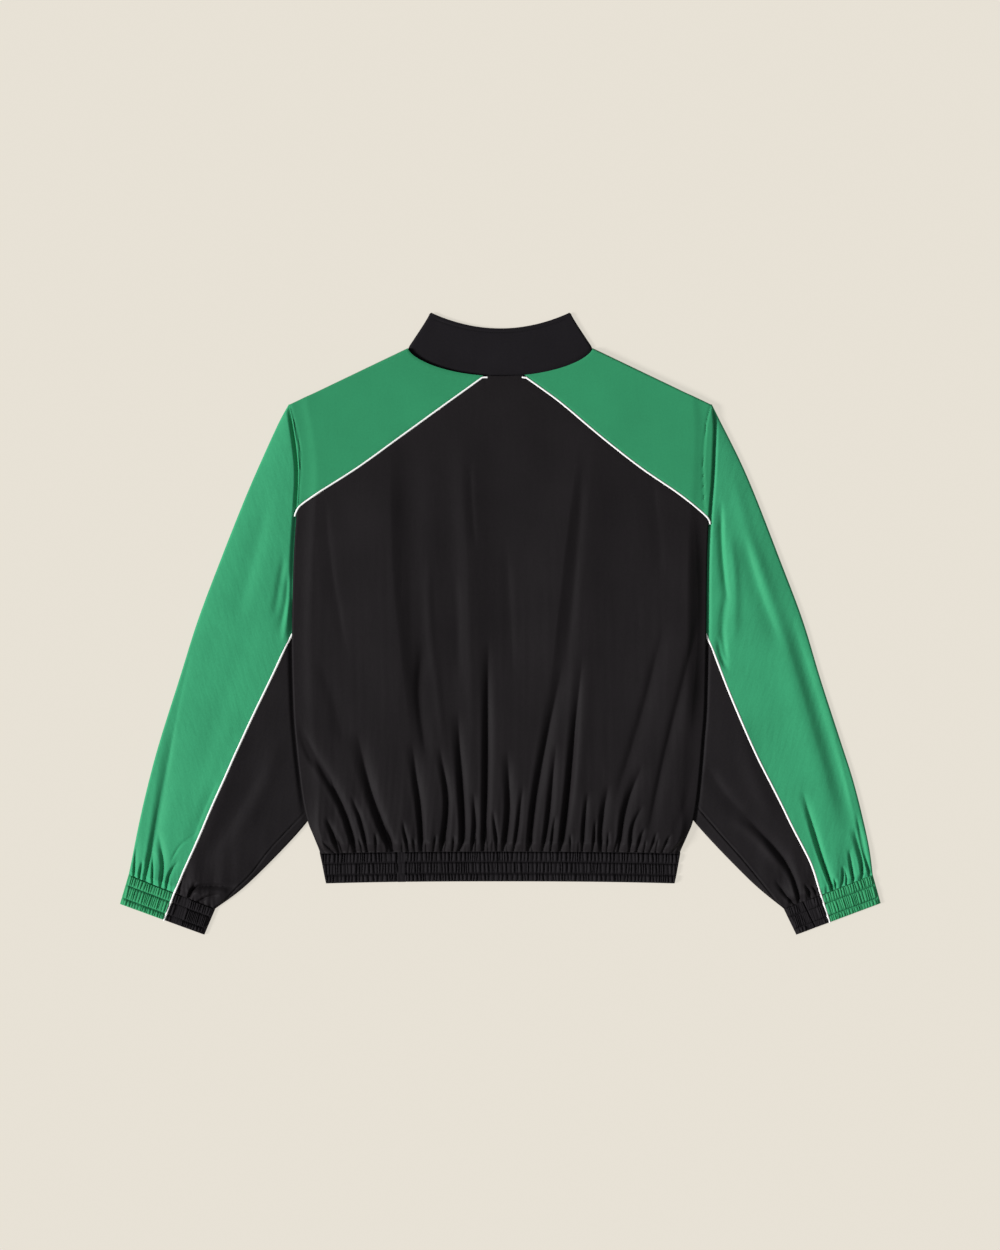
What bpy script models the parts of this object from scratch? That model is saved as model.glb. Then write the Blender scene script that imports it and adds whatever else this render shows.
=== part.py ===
"""A training jacket with a stand collar, laid flat on its front, built panel by panel.

Tables and sizes are in millimetres, x to the right and y towards the collar, as seen from above with
the back of the jacket on top. z is the height over the surface it lies on. The meshes are in metres.
"""

import math

import bmesh
import bpy
import numpy as np

# ---------------------------------------------------------------- driving dimensions (mm)
MM = 0.001
WALL = 1.2  # cloth with its seam allowances
SEAM = 0.3  # clear distance between neighbouring pieces
LAYER = 0.4  # clear distance between layers that lie on each other
HEM_Y = -288.0  # seam of the body and the waistband
NECK_HALF = 117.0  # half of the neck's width at the shoulder
NECK_Y = 349.0  # high shoulder point
BACK_NECK_DROP = 36.0
FRONT_NECK_DROP = 106.0
NECK_BEND = 0.62  # below 1 the neck's curve is flatter in the middle and steeper at its ends
SLEEVE_EDGE_R = 1.75  # outer radius of a sleeve's folded edge
SLEEVE_FLAT = 2 * SLEEVE_EDGE_R  # a pressed sleeve, both layers
PIPING_W = 2.6
PIPING_CREST = 0.8
BODY_OVER_SLEEVE = SLEEVE_FLAT + PIPING_CREST + LAYER  # level of the front panel on a sleeve's margin
CLEAR_OF_FOLD = 4.8  # the front panel stays up this far past a sleeve's inner fold
SLEEVE_START_Y = 266.0
FACET_SLACK = 0.45  # room beside a curved seam for the facets of its neighbours
FRONT_NECK_SLACK = 0.9
LIFT_RAMP = 13.0  # the front comes down from the sleeve to the surface over this width
BAND_WALL = 1.4
RIB_HEIGHT = 0.8
GROOVE = 0.7  # how far a stitch line draws the elastic in
PUFF = 1.5  # air between the front and the back panel
BODY_EDGE = 26.0  # the air and the folds fade out over this width at the body's edges
BACK_AIR = (0.15, 4.0)  # least and most air under the back, with its folds
SLEEVE_PUFF = 1.6  # how far a sleeve's upper layer stands up outside the body
SLEEVE_AIR = (0.1, 3.4)  # least and most of that height, with the sleeve's folds
SLEEVE_CLEAR = 22.0  # it rises over this width beside the body
CORNER_SAG = 2.6  # the hem and the waistband lie lower at their corners than in the middle

# Outline of the body from the hem up: the side edges, then the armhole seams up to the shoulder's tip.
BODY_OUTLINE = [
    # y, left_x, right_x
    (-288, -229.0, 228.0),
    (-271, -236.0, 236.0),
    (-250, -244.0, 244.0),
    (-223, -250.0, 249.0),
    (-185, -255.0, 253.0),
    (-147, -259.0, 256.0),
    (-106, -262.0, 259.0),
    (-21, -264.0, 261.0),
    (77, -262.0, 262.0),
    (136, -258.5, 264.5),
    (182, -256.0, 268.0),
    (214, -257.5, 269.5),
    (252, -263.0, 270.5),
    (277, -268.0, 268.0),
]

# The piped seams of the yokes, from the armhole to a point past the neck's seam.
YOKE_SEAMS = {
    # side: (x, y) ...
    "left": [(-258.5, 143), (-249, 153), (-228, 167), (-178, 199), (-127, 236), (-76, 273), (-26, 309),
             (4, 331)],
    "right": [(264.5, 133), (250, 145), (228, 163), (177, 198), (126, 238), (76, 280), (36, 309),
              (6, 331)],
}

# The sleeves, laid flat, from the shoulder to the end of the cuff. The outer edge is a fold, and the
# inner edge runs under the body. piping is the share of the width between the outer edge and the piping.
SLEEVES = {
    "left": [
        # outer_x, outer_y, inner_x, inner_y, piping
        (-268, 278, -254, 273, 0.60),
        (-281, 254, -244, 233, 0.75),
        (-303, 206, -238, 182, 0.87),
        (-325, 155, -238, 119, 0.90),
        (-354, 82, -238, 30, 0.93),
        (-383, 5, -236, -46, 0.745),
        (-407, -71, -231, -116, 0.586),
        (-431, -147, -226, -166, 0.486),
        (-445, -198, -221, -207, 0.417),
        (-457, -249, -247, -254, 0.399),
        (-467, -299, -317, -327, 0.447),
        (-471, -318, -361, -361, 0.529),
        (-482, -355, -375, -394, 0.524),
    ],
    "right": [
        (268, 278, 253, 273, 0.60),
        (278, 258, 243, 233, 0.75),
        (304, 206, 238, 182, 0.87),
        (325, 157, 238, 119, 0.90),
        (354, 82, 238, 30, 0.93),
        (383, 5, 235, -46, 0.767),
        (406, -71, 230, -116, 0.631),
        (430, -145, 225, -166, 0.539),
        (447, -198, 220, -207, 0.461),
        (460, -249, 245, -250, 0.438),
        (468, -287, 314, -323, 0.484),
        (472, -318, 359, -361, 0.584),
        (482, -354, 375, -394, 0.605),
    ],
}
CUFF_STATION = 11  # the row of SLEEVES where the cuff is sewn on

# Gathers of the back panel along the hem: where each valley starts, how far it runs up and how deep it is.
BACK_GATHERS = [
    # x, run, depth
    (-225, 20, 1.6), (-214, 22, 1.8), (-206, 60, 2.0), (-200, 55, 2.0), (-183, 150, 3.2),
    (-168, 65, 2.6), (-155, 26, 1.6), (-142, 140, 3.4), (-133, 34, 2.0), (-122, 14, 1.6),
    (-113, 38, 2.2), (-105, 18, 1.6), (-97, 130, 2.8), (-84, 22, 1.8), (-75, 130, 3.4),
    (-67, 16, 1.6), (-60, 20, 1.8), (-52, 210, 3.4), (-38, 64, 2.2), (-29, 14, 1.6),
    (-19, 300, 3.6), (-11, 40, 2.2), (-4, 12, 1.6), (4, 140, 2.8), (16, 64, 2.4),
    (27, 40, 2.0), (35, 180, 3.2), (44, 20, 1.6), (53, 110, 2.6), (62, 38, 2.0),
    (74, 230, 3.4), (87, 16, 1.6), (99, 66, 2.6), (113, 38, 2.0), (127, 80, 2.8),
    (136, 20, 1.6), (149, 115, 3.0), (162, 60, 2.2), (173, 220, 3.4), (181, 20, 1.6),
    (189, 16, 1.6), (197, 26, 1.8), (206, 16, 1.6), (216, 14, 1.4),
]
FRONT_GATHERS = 20  # pressed flat on the surface, so they are shallow dents in the front's underside
FRONT_GATHER_RUN = 90.0
FRONT_DENT = 0.5
GATHER_RISE = 14.0  # the gathers stand highest this far above the seam
GATHER_FOOT = 0.45  # share of its depth that a gather has at the seam
GATHER_FADE = 0.55  # share of its run over which a gather fades to a third
GATHER_REACH = 14.0  # a ridge takes the mean depth and run of the valleys within this distance

# The back's long soft folds: a valley has a negative height and a ridge a positive one.
BACK_FOLDS = [
    # x0, y0, x1, y1, height, half_width
    (-132, 232, -120, 0, -1.0, 13),
    (-120, 0, -104, -150, -0.8, 14),
    (-66, 240, -52, -20, -1.0, 11),
    (-89, 80, -87, -40, 0.8, 11),
    (-43, 160, -38, 20, 0.8, 10),
    (-20, 245, -18, -30, -1.4, 11),
    (0, 245, 2, -30, 0.9, 9),
    (57, 80, 56, -20, 0.9, 11),
    (101, 232, 75, -40, -1.2, 9),
    (98, 180, 100, 30, 0.9, 10),
    (142, 232, 114, -30, -1.2, 12),
    (177, 80, 167, -20, -0.7, 12),
    (253, 30, 243, -20, -0.6, 10),
    (154, -185, 192, -46, -1.2, 12),
    (-228, 155, -196, -30, -0.6, 14),
]

# The sleeves' soft folds above the cuffs and along the arm, on the back layer.
SLEEVE_FOLDS = [
    # x0, y0, x1, y1, height, half_width
    (-450, -300, -400, -85, -1.0, 8),
    (-440, -305, -418, -230, -0.9, 4),
    (-427, -310, -411, -262, -0.9, 4),
    (-414, -314, -403, -275, -0.8, 4),
    (-370, -330, -345, -270, -1.0, 5),
    (-350, -300, -300, -285, -0.8, 6),
    (-330, 60, -290, -40, 0.8, 14),
    (-390, -90, -345, -190, 0.8, 16),
    (420, -335, 395, -262, -1.0, 5),
    (458, -315, 398, -30, -1.1, 9),
    (438, -318, 424, -262, -0.9, 4),
    (404, -330, 384, -240, -0.9, 5),
    (372, -335, 345, -262, -1.0, 6),
    (352, -310, 305, -262, -0.8, 6),
    (330, 70, 300, -60, 0.8, 14),
    (400, -60, 352, -210, 0.9, 15),
]

# ---------------------------------------------------------------- colours (linear) and finish
CLOTHS = {
    # name: colour, roughness
    "green_cloth": ((0.047, 0.335, 0.158), 0.62),
    "black_cloth": ((0.018, 0.016, 0.018), 0.66),
    "collar_cloth": ((0.015, 0.014, 0.016), 0.7),
    "rib_black": ((0.014, 0.013, 0.015), 0.75),
    "piping_white": ((0.88, 0.88, 0.85), 0.5),
}


# ---------------------------------------------------------------- curves and height fields
def smooth(t):
    """0 below 0, 1 above 1, and a smooth step between."""
    t = np.clip(t, 0.0, 1.0)
    return t * t * (3 - 2 * t)


def smooth_start(t):
    """Places from 0 to 1 that lie closer together near 0, where the seams bend."""
    return 0.45 * t + 0.55 * t * t


def spline(rows, at):
    """Every column of a table at the places `at`, counted in rows, on a curve through the rows."""
    table = np.asarray(rows, float)
    at = np.clip(np.asarray(at, float), 0, len(table) - 1)
    i = np.minimum(at.astype(int), len(table) - 2)
    t = (at - i)[:, None]
    before = table[np.maximum(i - 1, 0)]
    after = table[np.minimum(i + 2, len(table) - 1)]
    a, b = table[i], table[i + 1]
    return 0.5 * (2 * a + (b - before) * t + (2 * before - 5 * a + 4 * b - after) * t**2
                  + (3 * a - before - 3 * b + after) * t**3)


def side_x(side, y):
    """The body's edge at height y, on one side."""
    column = 1 if side == "left" else 2
    fine = np.linspace(0, len(BODY_OUTLINE) - 1, 80)
    curve = spline(BODY_OUTLINE, fine)
    return np.interp(y, curve[:, 0], curve[:, column])


def sleeve_rows(side, stations):
    """The columns of SLEEVES at these stations, with a corner where the cuff is sewn on."""
    stations = np.asarray(stations, float)
    above = spline(SLEEVES[side][:CUFF_STATION + 1], stations)
    below = spline(SLEEVES[side][CUFF_STATION:], stations - CUFF_STATION)
    return np.where(stations[:, None] < CUFF_STATION, above, below)


def from_sleeve(side, x, y):
    """Distance in plan from a sleeve's inner edge, towards the middle of the body, or 0 over the sleeve."""
    edge = sleeve_rows(side, np.linspace(0, CUFF_STATION, 45))[:, 2:4]
    nearest = np.full(np.shape(x), np.inf)
    for (ax, ay), (bx, by) in zip(edge, edge[1:]):
        run = (bx - ax) ** 2 + (by - ay) ** 2
        t = np.clip(((x - ax) * (bx - ax) + (y - ay) * (by - ay)) / run, 0, 1)
        nearest = np.minimum(nearest, np.hypot(x - ax - t * (bx - ax), y - ay - t * (by - ay)))
    reach = np.interp(y, edge[::-1, 1], np.abs(edge[::-1, 0]))
    return np.where(np.abs(x) > reach, 0.0, nearest)


def lift(x, y):
    """Level of the front panel: on the surface, and up over the sleeves' margins at the sides."""
    y = np.minimum(y, SLEEVE_START_Y)  # the level stays the same on up to the shoulder's seam
    left, right = from_sleeve("left", x, y), from_sleeve("right", x, y)
    inside = np.where(x < 0, left, right) - CLEAR_OF_FOLD
    return BODY_OVER_SLEEVE * smooth(1 - inside / LIFT_RAMP)


def folds(x, y, table):
    """Sum of the soft folds of a table, each fading out at both of its ends."""
    total = np.zeros_like(x)
    for x0, y0, x1, y1, height, half_width in table:
        run = math.hypot(x1 - x0, y1 - y0)
        ux, uy = (x1 - x0) / run, (y1 - y0) / run
        along = ((x - x0) * ux + (y - y0) * uy) / run
        across = ((x - x0) * uy - (y - y0) * ux) / half_width
        ends = smooth((along + 0.12) / 0.3) * smooth((1.12 - along) / 0.3)
        total += height * np.exp(-across**2) * ends
    return total


def neck_base(x, drop):
    """The neck's seam: level at the shoulders and dropped by `drop` in the middle."""
    share = np.clip(1 - (x / NECK_HALF) ** 2, 0, 1)
    return NECK_Y - drop * share**NECK_BEND


def neck_edge(x, drop):
    """The panels' edge along the neck, clear of the collar, whose front bends more and is kept further off."""
    slack = FACET_SLACK if drop == BACK_NECK_DROP else FRONT_NECK_SLACK
    return neck_base(x, drop) - SEAM / 2 - slack


def seam_y(side, x, shift=0.0):
    """Height at x of the piped yoke seam, or of a line beside it, `shift` towards the yoke."""
    curve = spline(YOKE_SEAMS[side], np.linspace(0, len(YOKE_SEAMS[side]) - 1, 90))
    sign = -1 if side == "left" else 1
    run = np.gradient(curve, axis=0)
    normal = np.stack([sign * run[:, 1], -sign * run[:, 0]], axis=1)
    curve = curve + shift * normal / np.linalg.norm(normal, axis=1)[:, None]
    return np.interp(-sign * x, -sign * curve[:, 0], curve[:, 1])


def seam_end(side, drop, shift=0.0):
    """x where the seam, or a line beside it, meets the neck's seam."""
    sign = -1 if side == "left" else 1
    x = sign * np.linspace(NECK_HALF, 0, 400)
    past = seam_y(side, x, shift) > neck_edge(x, drop)
    return float(x[past.argmax()])


def inner_share(x, y):
    """0 at the body's edges and 1 inside, for what fades out towards the side seams."""
    left = x - side_x("left", y)
    right = side_x("right", y) - x
    return smooth(np.minimum(left, right) / BODY_EDGE)


def back_level(x, y):
    """Underside of the back panels without their gathers: on the front panels, with air between."""
    body = inner_share(x, y)
    soft = np.clip(PUFF + folds(x, y, BACK_FOLDS), *BACK_AIR)
    return lift(x, y) + WALL + LAYER + body * soft


def chord_level(x, y, share):
    """Outer side of a sleeve's upper layer: pressed under the body, and softly filled outside it."""
    side_gap = np.maximum(side_x("left", y) - x, x - side_x("right", y))
    clear = smooth((side_gap - 1.0) / SLEEVE_CLEAR)
    round_over = np.clip(4 * share * (1 - share), 0, 1) ** 0.7
    soft = np.clip(SLEEVE_PUFF + folds(x, y, SLEEVE_FOLDS), *SLEEVE_AIR)
    return SLEEVE_FLAT + clear * round_over * soft


# ---------------------------------------------------------------- building solids
def cloth_material(name):
    """The cloth's material, made once and shared by its pieces."""
    if name in bpy.data.materials:
        return bpy.data.materials[name]
    colour, roughness = CLOTHS[name]
    material = bpy.data.materials.new(name)
    material.use_nodes = True
    shader = material.node_tree.nodes["Principled BSDF"]
    shader.inputs["Base Color"].default_value = (*colour, 1.0)
    shader.inputs["Roughness"].default_value = roughness
    shader.inputs["Metallic"].default_value = 0.0
    material.diffuse_color = (*colour, 1.0)
    return material


def wall(name, outer, inner, material, ring=False):
    """A closed panel from its outer and its inner side, both rows of points, with a rim round the edge.

    The two sides have the same columns. The inner side may have fewer rows, which makes it plain. With
    ring, each row closes on itself and only the two ends get a rim.
    """
    mesh = bmesh.new()
    faces = []

    def skin(grid):
        rows = [[mesh.verts.new(point * MM) for point in row] for row in grid]
        count = len(rows[0])
        for low, high in zip(rows, rows[1:]):
            for i in range(count if ring else count - 1):
                k = (i + 1) % count
                faces.append((low[i], low[k], high[k], high[i]))
        return rows

    top, under = skin(outer), skin(inner)
    count = len(top[0])
    for end in (0, -1):
        for i in range(count if ring else count - 1):
            k = (i + 1) % count
            faces.append((top[end][i], top[end][k], under[end][k], under[end][i]))
    if not ring:
        for i in (0, -1):
            side = [row[i] for row in top] + [row[i] for row in reversed(under)]
            if len(top) == len(under):
                for a, b, c, d in zip(top, top[1:], under, under[1:]):
                    faces.append((a[i], b[i], d[i], c[i]))
            else:
                faces.append(tuple(side))
    for face in faces:
        mesh.faces.new(face)
    return finished(name, mesh, material)


def finished(name, mesh, material):
    """Turns a closed bmesh into an object with its faces outwards, its material and smooth shading."""
    bmesh.ops.recalc_face_normals(mesh, faces=mesh.faces)
    data = bpy.data.meshes.new(name)
    mesh.to_mesh(data)
    mesh.free()
    data.shade_smooth()
    data.set_sharp_from_angle(angle=math.radians(40))
    data.materials.append(cloth_material(material))
    obj = bpy.data.objects.new(name, data)
    bpy.context.scene.collection.objects.link(obj)
    return obj


def points(x, y, z):
    """One array of points from three arrays, or numbers, of coordinates."""
    x, y, z = np.broadcast_arrays(x, y, z)
    return np.stack([x, y, z], axis=-1).astype(float)


# ---------------------------------------------------------------- body panels
BODY_ROWS = [0, 0.02, 0.05, 0.1, 0.18, 0.3, 0.45, 0.64, 0.84, 1.0]  # shares of a column
PIPED_GAP = PIPING_W / 2 + SEAM  # from the middle of the piping to the cloth on each side


def sag(share):
    """How far the hem and the waistband lie lower at a share of their width."""
    return CORNER_SAG * np.abs(2 * share - 1) ** 2.5


def body_grid(columns, drop):
    """Plan of a body panel: columns run from the hem to the panel's top edge, at fixed shares of its width.

    The third result is each point's distance up from the hem.
    """
    share = columns[None, :]
    rise = np.asarray(BODY_ROWS)[:, None]
    hem = HEM_Y - sag(share)
    start = hem + SEAM / 2
    y = np.repeat(start, len(BODY_ROWS), axis=0)
    for _ in range(6):  # x follows the side edges at y, and the top edge's y follows x
        left, right = side_x("left", y), side_x("right", y)
        x = left + share * (right - left)
        y = start + rise * (panel_top(x[-1], drop) - start)
    return x, y, y - hem


def panel_top(x, drop):
    """Top edge of a body panel: the two piped seams, and the neck between them."""
    beside = -PIPED_GAP - FACET_SLACK
    return np.minimum(neck_edge(x, drop), np.minimum(seam_y("left", x, beside), seam_y("right", x, beside)))


def gather_columns():
    """Shares of the hem's width: margins, then a valley and a ridge for each gather of the back."""
    left, right = BODY_OUTLINE[0][1], BODY_OUTLINE[0][2]
    valleys = [(row[0] - left) / (right - left) for row in BACK_GATHERS]
    ridges = [(a + b) / 2 for a, b in zip(valleys, valleys[1:])]
    shares = sorted([0.0, 1.0] + valleys + ridges)
    return np.array(shares)


def gather_height(up, foot):
    """Height of the back's gathers, `up` above the hem: `foot` is each column's place along the hem.

    A column on a valley stays down, and one on a ridge stands up as far as the valleys near it are deep.
    """
    centres, runs, depths = np.array(BACK_GATHERS, float).T
    away = np.abs(foot[:, None] - centres[None, :])
    valley = away.min(axis=1) < 0.5
    near = away < GATHER_REACH
    count = near.sum(axis=1).clip(1)
    depth = (near * depths).sum(axis=1) / count
    run = (near * runs).sum(axis=1) / count
    rise = GATHER_FOOT + (1 - GATHER_FOOT) * smooth(up / GATHER_RISE)
    fade = np.exp(-np.clip(up - GATHER_RISE, 0, None) / (GATHER_FADE * run))
    return np.where(valley, 0.0, depth * rise * fade)


def back_body():
    """The black back panel, gathered along the hem, with its long soft folds."""
    columns = gather_columns()
    x, y, up = body_grid(columns, BACK_NECK_DROP)
    foot = BODY_OUTLINE[0][1] + columns * (BODY_OUTLINE[0][2] - BODY_OUTLINE[0][1])
    under = back_level(x, y) + gather_height(up, foot) * inner_share(x, y)
    wall("back_body", points(x, y, under + WALL), points(x, y, under), "black_cloth")


CLIMB_COLUMNS = 15  # this many columns on each side are shared by the front and the back


def front_columns():
    """The back's columns at the sides, so that the two panels climb alike, and fewer in the middle."""
    every = gather_columns()
    half = len(every) // 2
    near = [i for i in range(len(every)) if min(i, len(every) - 1 - i) < CLIMB_COLUMNS]
    middle = [i for i in range(CLIMB_COLUMNS, len(every) - CLIMB_COLUMNS) if (i - half) % 4 == 0]
    return every[sorted(set(near + middle))]


def front_body():
    """The black front panel, flat on the surface, with its gathers pressed flat."""
    columns = front_columns()
    x, y, up = body_grid(columns, FRONT_NECK_DROP)
    wave = 0.5 - 0.5 * np.cos(2 * np.pi * FRONT_GATHERS * columns[None, :])
    level = lift(x, y)
    dents = FRONT_DENT * wave * smooth(up / 12.0) * smooth(1 - up / FRONT_GATHER_RUN) * (level < 0.01)
    wall("front_body", points(x, y, level + WALL), points(x, y, level + dents), "black_cloth")


def coons(bottom, top, left, right, across, up):
    """A patch between four edges. bottom and top run with `across`, left and right with `up`."""
    s, t = across[None, :, None], up[:, None, None]
    edges = (1 - t) * bottom[None] + t * top[None] + (1 - s) * left[:, None] + s * right[:, None]
    corners = ((1 - s) * (1 - t) * bottom[0] + s * (1 - t) * bottom[-1]
               + (1 - s) * t * top[0] + s * t * top[-1])
    return edges - corners


YOKE_MARGIN = [0, 3, 8, 14, 20, 27]  # columns near the armhole, where the yokes climb over the sleeve


def yoke(side, face):
    """A shoulder yoke, between the armhole, the shoulder, the neck and the piped seam."""
    sign = -1 if side == "left" else 1
    drop = BACK_NECK_DROP if face == "back" else FRONT_NECK_DROP
    reach = seam_end(side, drop, PIPED_GAP + FACET_SLACK)
    seam_start = side_x(side, YOKE_SEAMS[side][0][1])
    width = abs(reach - seam_start)
    across = np.concatenate([np.array(YOKE_MARGIN) / width, np.linspace(40 / width, 1, 8)])
    up = np.array([0, 0.12, 0.3, 0.55, 0.8, 1.0])
    bottom_x = seam_start + across * (reach - seam_start)
    bottom_y = seam_y(side, bottom_x, PIPED_GAP + FACET_SLACK)
    left_y = bottom_y[0] + up * (BODY_OUTLINE[-1][0] - bottom_y[0])
    left_x = side_x(side, left_y)
    bottom_x[0] = left_x[0]
    neck_x = reach + (1 - (1 - up) ** 1.6) * (sign * NECK_HALF - reach)
    neck_y = neck_edge(neck_x, drop)
    neck_y[0] = bottom_y[-1]
    top_x = left_x[-1] + across * (neck_x[-1] - left_x[-1])
    top_y = left_y[-1] + across * (neck_y[-1] - left_y[-1])
    plan = coons(np.stack([bottom_x, bottom_y], 1), np.stack([top_x, top_y], 1),
                 np.stack([left_x, left_y], 1), np.stack([neck_x, neck_y], 1), across, up)
    x, y = plan[..., 0], plan[..., 1]
    under = back_level(x, y) if face == "back" else lift(x, y)
    wall(f"{face}_yoke_{side}", points(x, y, under + WALL), points(x, y, under), "green_cloth")


# ---------------------------------------------------------------- piping
def piping(name, x, y, under, raised):
    """White piping along a plan line, set into its seam. A raised one stands over the cloth on both sides."""
    tangent_x, tangent_y = np.gradient(x), np.gradient(y)
    length = np.hypot(tangent_x, tangent_y)
    nx, ny = -tangent_y / length, tangent_x / length
    half = PIPING_W / 2
    if raised:
        profile = [(-1, 0), (-1, WALL + 0.2), (-0.55, WALL + PIPING_CREST), (0.55, WALL + PIPING_CREST),
                   (1, WALL + 0.2), (1, 0)]
    else:
        profile = [(-1, 0), (-1, WALL), (1, WALL), (1, 0)]
    mesh = bmesh.new()
    rings = []
    for i in range(len(x)):
        ring = [(x[i] + a * half * nx[i], y[i] + a * half * ny[i], under[i] + h) for a, h in profile]
        rings.append([mesh.verts.new(np.array(corner) * MM) for corner in ring])
    count = len(profile)
    for low, high in zip(rings, rings[1:]):
        for i in range(count):
            k = (i + 1) % count
            mesh.faces.new((low[i], low[k], high[k], high[i]))
    mesh.faces.new(tuple(reversed(rings[0])))
    mesh.faces.new(tuple(rings[-1]))
    return finished(name, mesh, "piping_white")


def yoke_piping(side, face):
    """The piping of a yoke's seam. It ends just short of the collar."""
    sign = -1 if side == "left" else 1
    drop = BACK_NECK_DROP if face == "back" else FRONT_NECK_DROP
    start = side_x(side, YOKE_SEAMS[side][0][1])
    reach = seam_end(side, drop, -PIPED_GAP) + sign * 1.6 * PIPING_W
    x = start + smooth_start(np.linspace(0, 1, 16)) * (reach - start)
    y = seam_y(side, x)
    under = back_level(x, y) if face == "back" else lift(x, y)
    piping(f"piping_{face}_{side}", x, y, under, face == "back")


# ---------------------------------------------------------------- sleeves and cuffs
def chord_sections(side, stations):
    """Sections of a sleeve: outer point, unit direction inwards, width, and the piping's place and gap."""
    rows = sleeve_rows(side, stations)
    outer, inner = rows[:, 0:2], rows[:, 2:4]
    width = np.linalg.norm(inner - outer, axis=1)
    along = (inner - outer) / width[:, None]
    pipe = rows[:, 4] * width
    route = np.gradient(outer + along * pipe[:, None], axis=0)
    route /= np.linalg.norm(route, axis=1)[:, None]
    slant = np.abs(along[:, 0] * route[:, 1] - along[:, 1] * route[:, 0])
    return outer, along, width, pipe, (PIPED_GAP + SEWING_SLACK) / slant.clip(0.4)


def sleeve_points(side, stations, path):
    """Outer and inner side of a sleeve's wall. path lists its columns, each a kind and a share.

    top and bottom columns lie at a share of the way from the fold to the piping, arc columns at an angle.
    """
    outer, along, width, pipe, gap = chord_sections(side, stations)
    inside = SLEEVE_EDGE_R - WALL
    r = SLEEVE_EDGE_R
    skins = []
    for radius, depth in ((r, 0.0), (inside, WALL)):
        columns = []
        for kind, edge, share in path:
            centre = r if edge == "outer" else width - r
            stop = pipe - gap if edge == "outer" else pipe + gap
            if kind == "arc":
                turn = math.radians(share)
                distance = centre - radius * math.cos(turn) * (1 if edge == "outer" else -1)
                height = np.full(len(width), r + radius * math.sin(turn))
                plan = outer + along * np.broadcast_to(distance, width.shape)[:, None]
            else:
                distance = centre + share * (stop - centre)
                plan = outer + along * distance[:, None]
                if kind == "top":
                    height = chord_level(plan[:, 0], plan[:, 1], distance / width) - depth
                else:
                    height = np.full(len(width), depth)
            columns.append(points(plan[:, 0], plan[:, 1], height))
        skins.append(np.stack(columns, axis=1))
    return skins


def wrap_path(edge, tops, bottoms):
    """Columns of a panel that wraps one folded edge, from the piping on top to the piping below."""
    top = [("top", edge, share) for share in np.linspace(1, 0, tops)]
    arc = [("arc", edge, angle) for angle in (45, 0, -45)]
    bottom = [("bottom", edge, share) for share in np.linspace(0, 1, bottoms)]
    return top + arc + bottom


SLEEVE_ROWS = [0, 0.5, 1, 2, 3, 4, 5, 6, 7, 8, 9, 10, 10.65]  # stations of the sleeve's sections
SEWING_SLACK = 0.08  # room for the piping's facets
CUFF_SLACK = 0.0105  # half of the seam above the cuff, in stations


def sleeve(side):
    """The two panels of a sleeve: green round the outer fold and black round the inner one."""
    rows = np.append(SLEEVE_ROWS, CUFF_STATION - CUFF_SLACK)
    for edge, colour, tops, bottoms in (("outer", "green", 10, 3), ("inner", "black", 8, 3)):
        outer, inner = sleeve_points(side, rows, wrap_path(edge, tops, bottoms))
        wall(f"sleeve_{side}_{colour}", outer, inner, colour + "_cloth")


CUFF_BANDS = [0, 0.18, 0.37, 0.55, 0.74, 1.0]  # stitch lines at the third and the fifth
CUFF_RIBS = {"outer": 13, "inner": 11}


def cuff(side):
    """The two halves of an elastic cuff: ribs along it and two stitch lines round it, over a plain inside."""
    start = CUFF_STATION + CUFF_SLACK
    rows = start + np.asarray(CUFF_BANDS) * (len(SLEEVES[side]) - 1 - start)
    for edge, colour in (("outer", "green"), ("inner", "black")):
        ribs = CUFF_RIBS[edge]
        path = wrap_path(edge, 2 * ribs + 1, 4)
        outer, inner = sleeve_points(side, rows, path)
        crest = np.zeros(len(path))
        crest[1:2 * ribs:2] = RIB_HEIGHT
        drawn = np.isin(CUFF_BANDS, (0.37, 0.74))[:, None]
        outer[..., 2] += crest[None, :] * np.where(drawn, 0.35, 1.0)
        top = np.array([kind == "top" for kind, _, _ in path])[None, :]
        outer[..., 2] -= np.where(drawn & top, GROOVE * 0.5, 0.0)
        cloth = "green_cloth" if colour == "green" else "rib_black"
        wall(f"cuff_{side}_{colour}", outer, inner[[0, -1]], cloth)


def sleeve_piping(side):
    """The piping between the two panels of a sleeve, on both faces, on to the end of the cuff."""
    stations = np.concatenate([SLEEVE_ROWS, [CUFF_STATION, CUFF_STATION + 0.5, CUFF_STATION + 1.0]])
    outer, along, width, pipe, _ = chord_sections(side, stations)
    plan = outer + along * pipe[:, None]
    level = chord_level(plan[:, 0], plan[:, 1], pipe / width) - WALL
    piping(f"sleeve_piping_{side}_back", plan[:, 0], plan[:, 1], level, True)
    piping(f"sleeve_piping_{side}_front", plan[:, 0], plan[:, 1], np.zeros(len(plan)), False)


# ---------------------------------------------------------------- waistband
BAND_ROWS = [
    # y in the middle, left_x, right_x, drawn in by a stitch line
    (-288.3, -229.0, 228.3, 0),
    (-295.0, -227.5, 227.0, 0),
    (-302.0, -226.0, 225.8, 1),
    (-309.0, -224.6, 224.5, 0),
    (-316.5, -223.2, 223.2, 1),
    (-326.5, -221.0, 221.0, 0),
]
BAND_RIBS = 88
BAND_JOIN = (-131.0, -119.0)  # the plain strip where the band's ends are sewn together


def band_plan(rows, share):
    """Plan of rows of the waistband, at shares of its width."""
    y_mid, left, right, _ = (np.array(column, float)[:, None] for column in zip(*rows))
    x = left + share[None, :] * (right - left)
    y = y_mid - sag(share[None, :])
    return x, y


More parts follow.
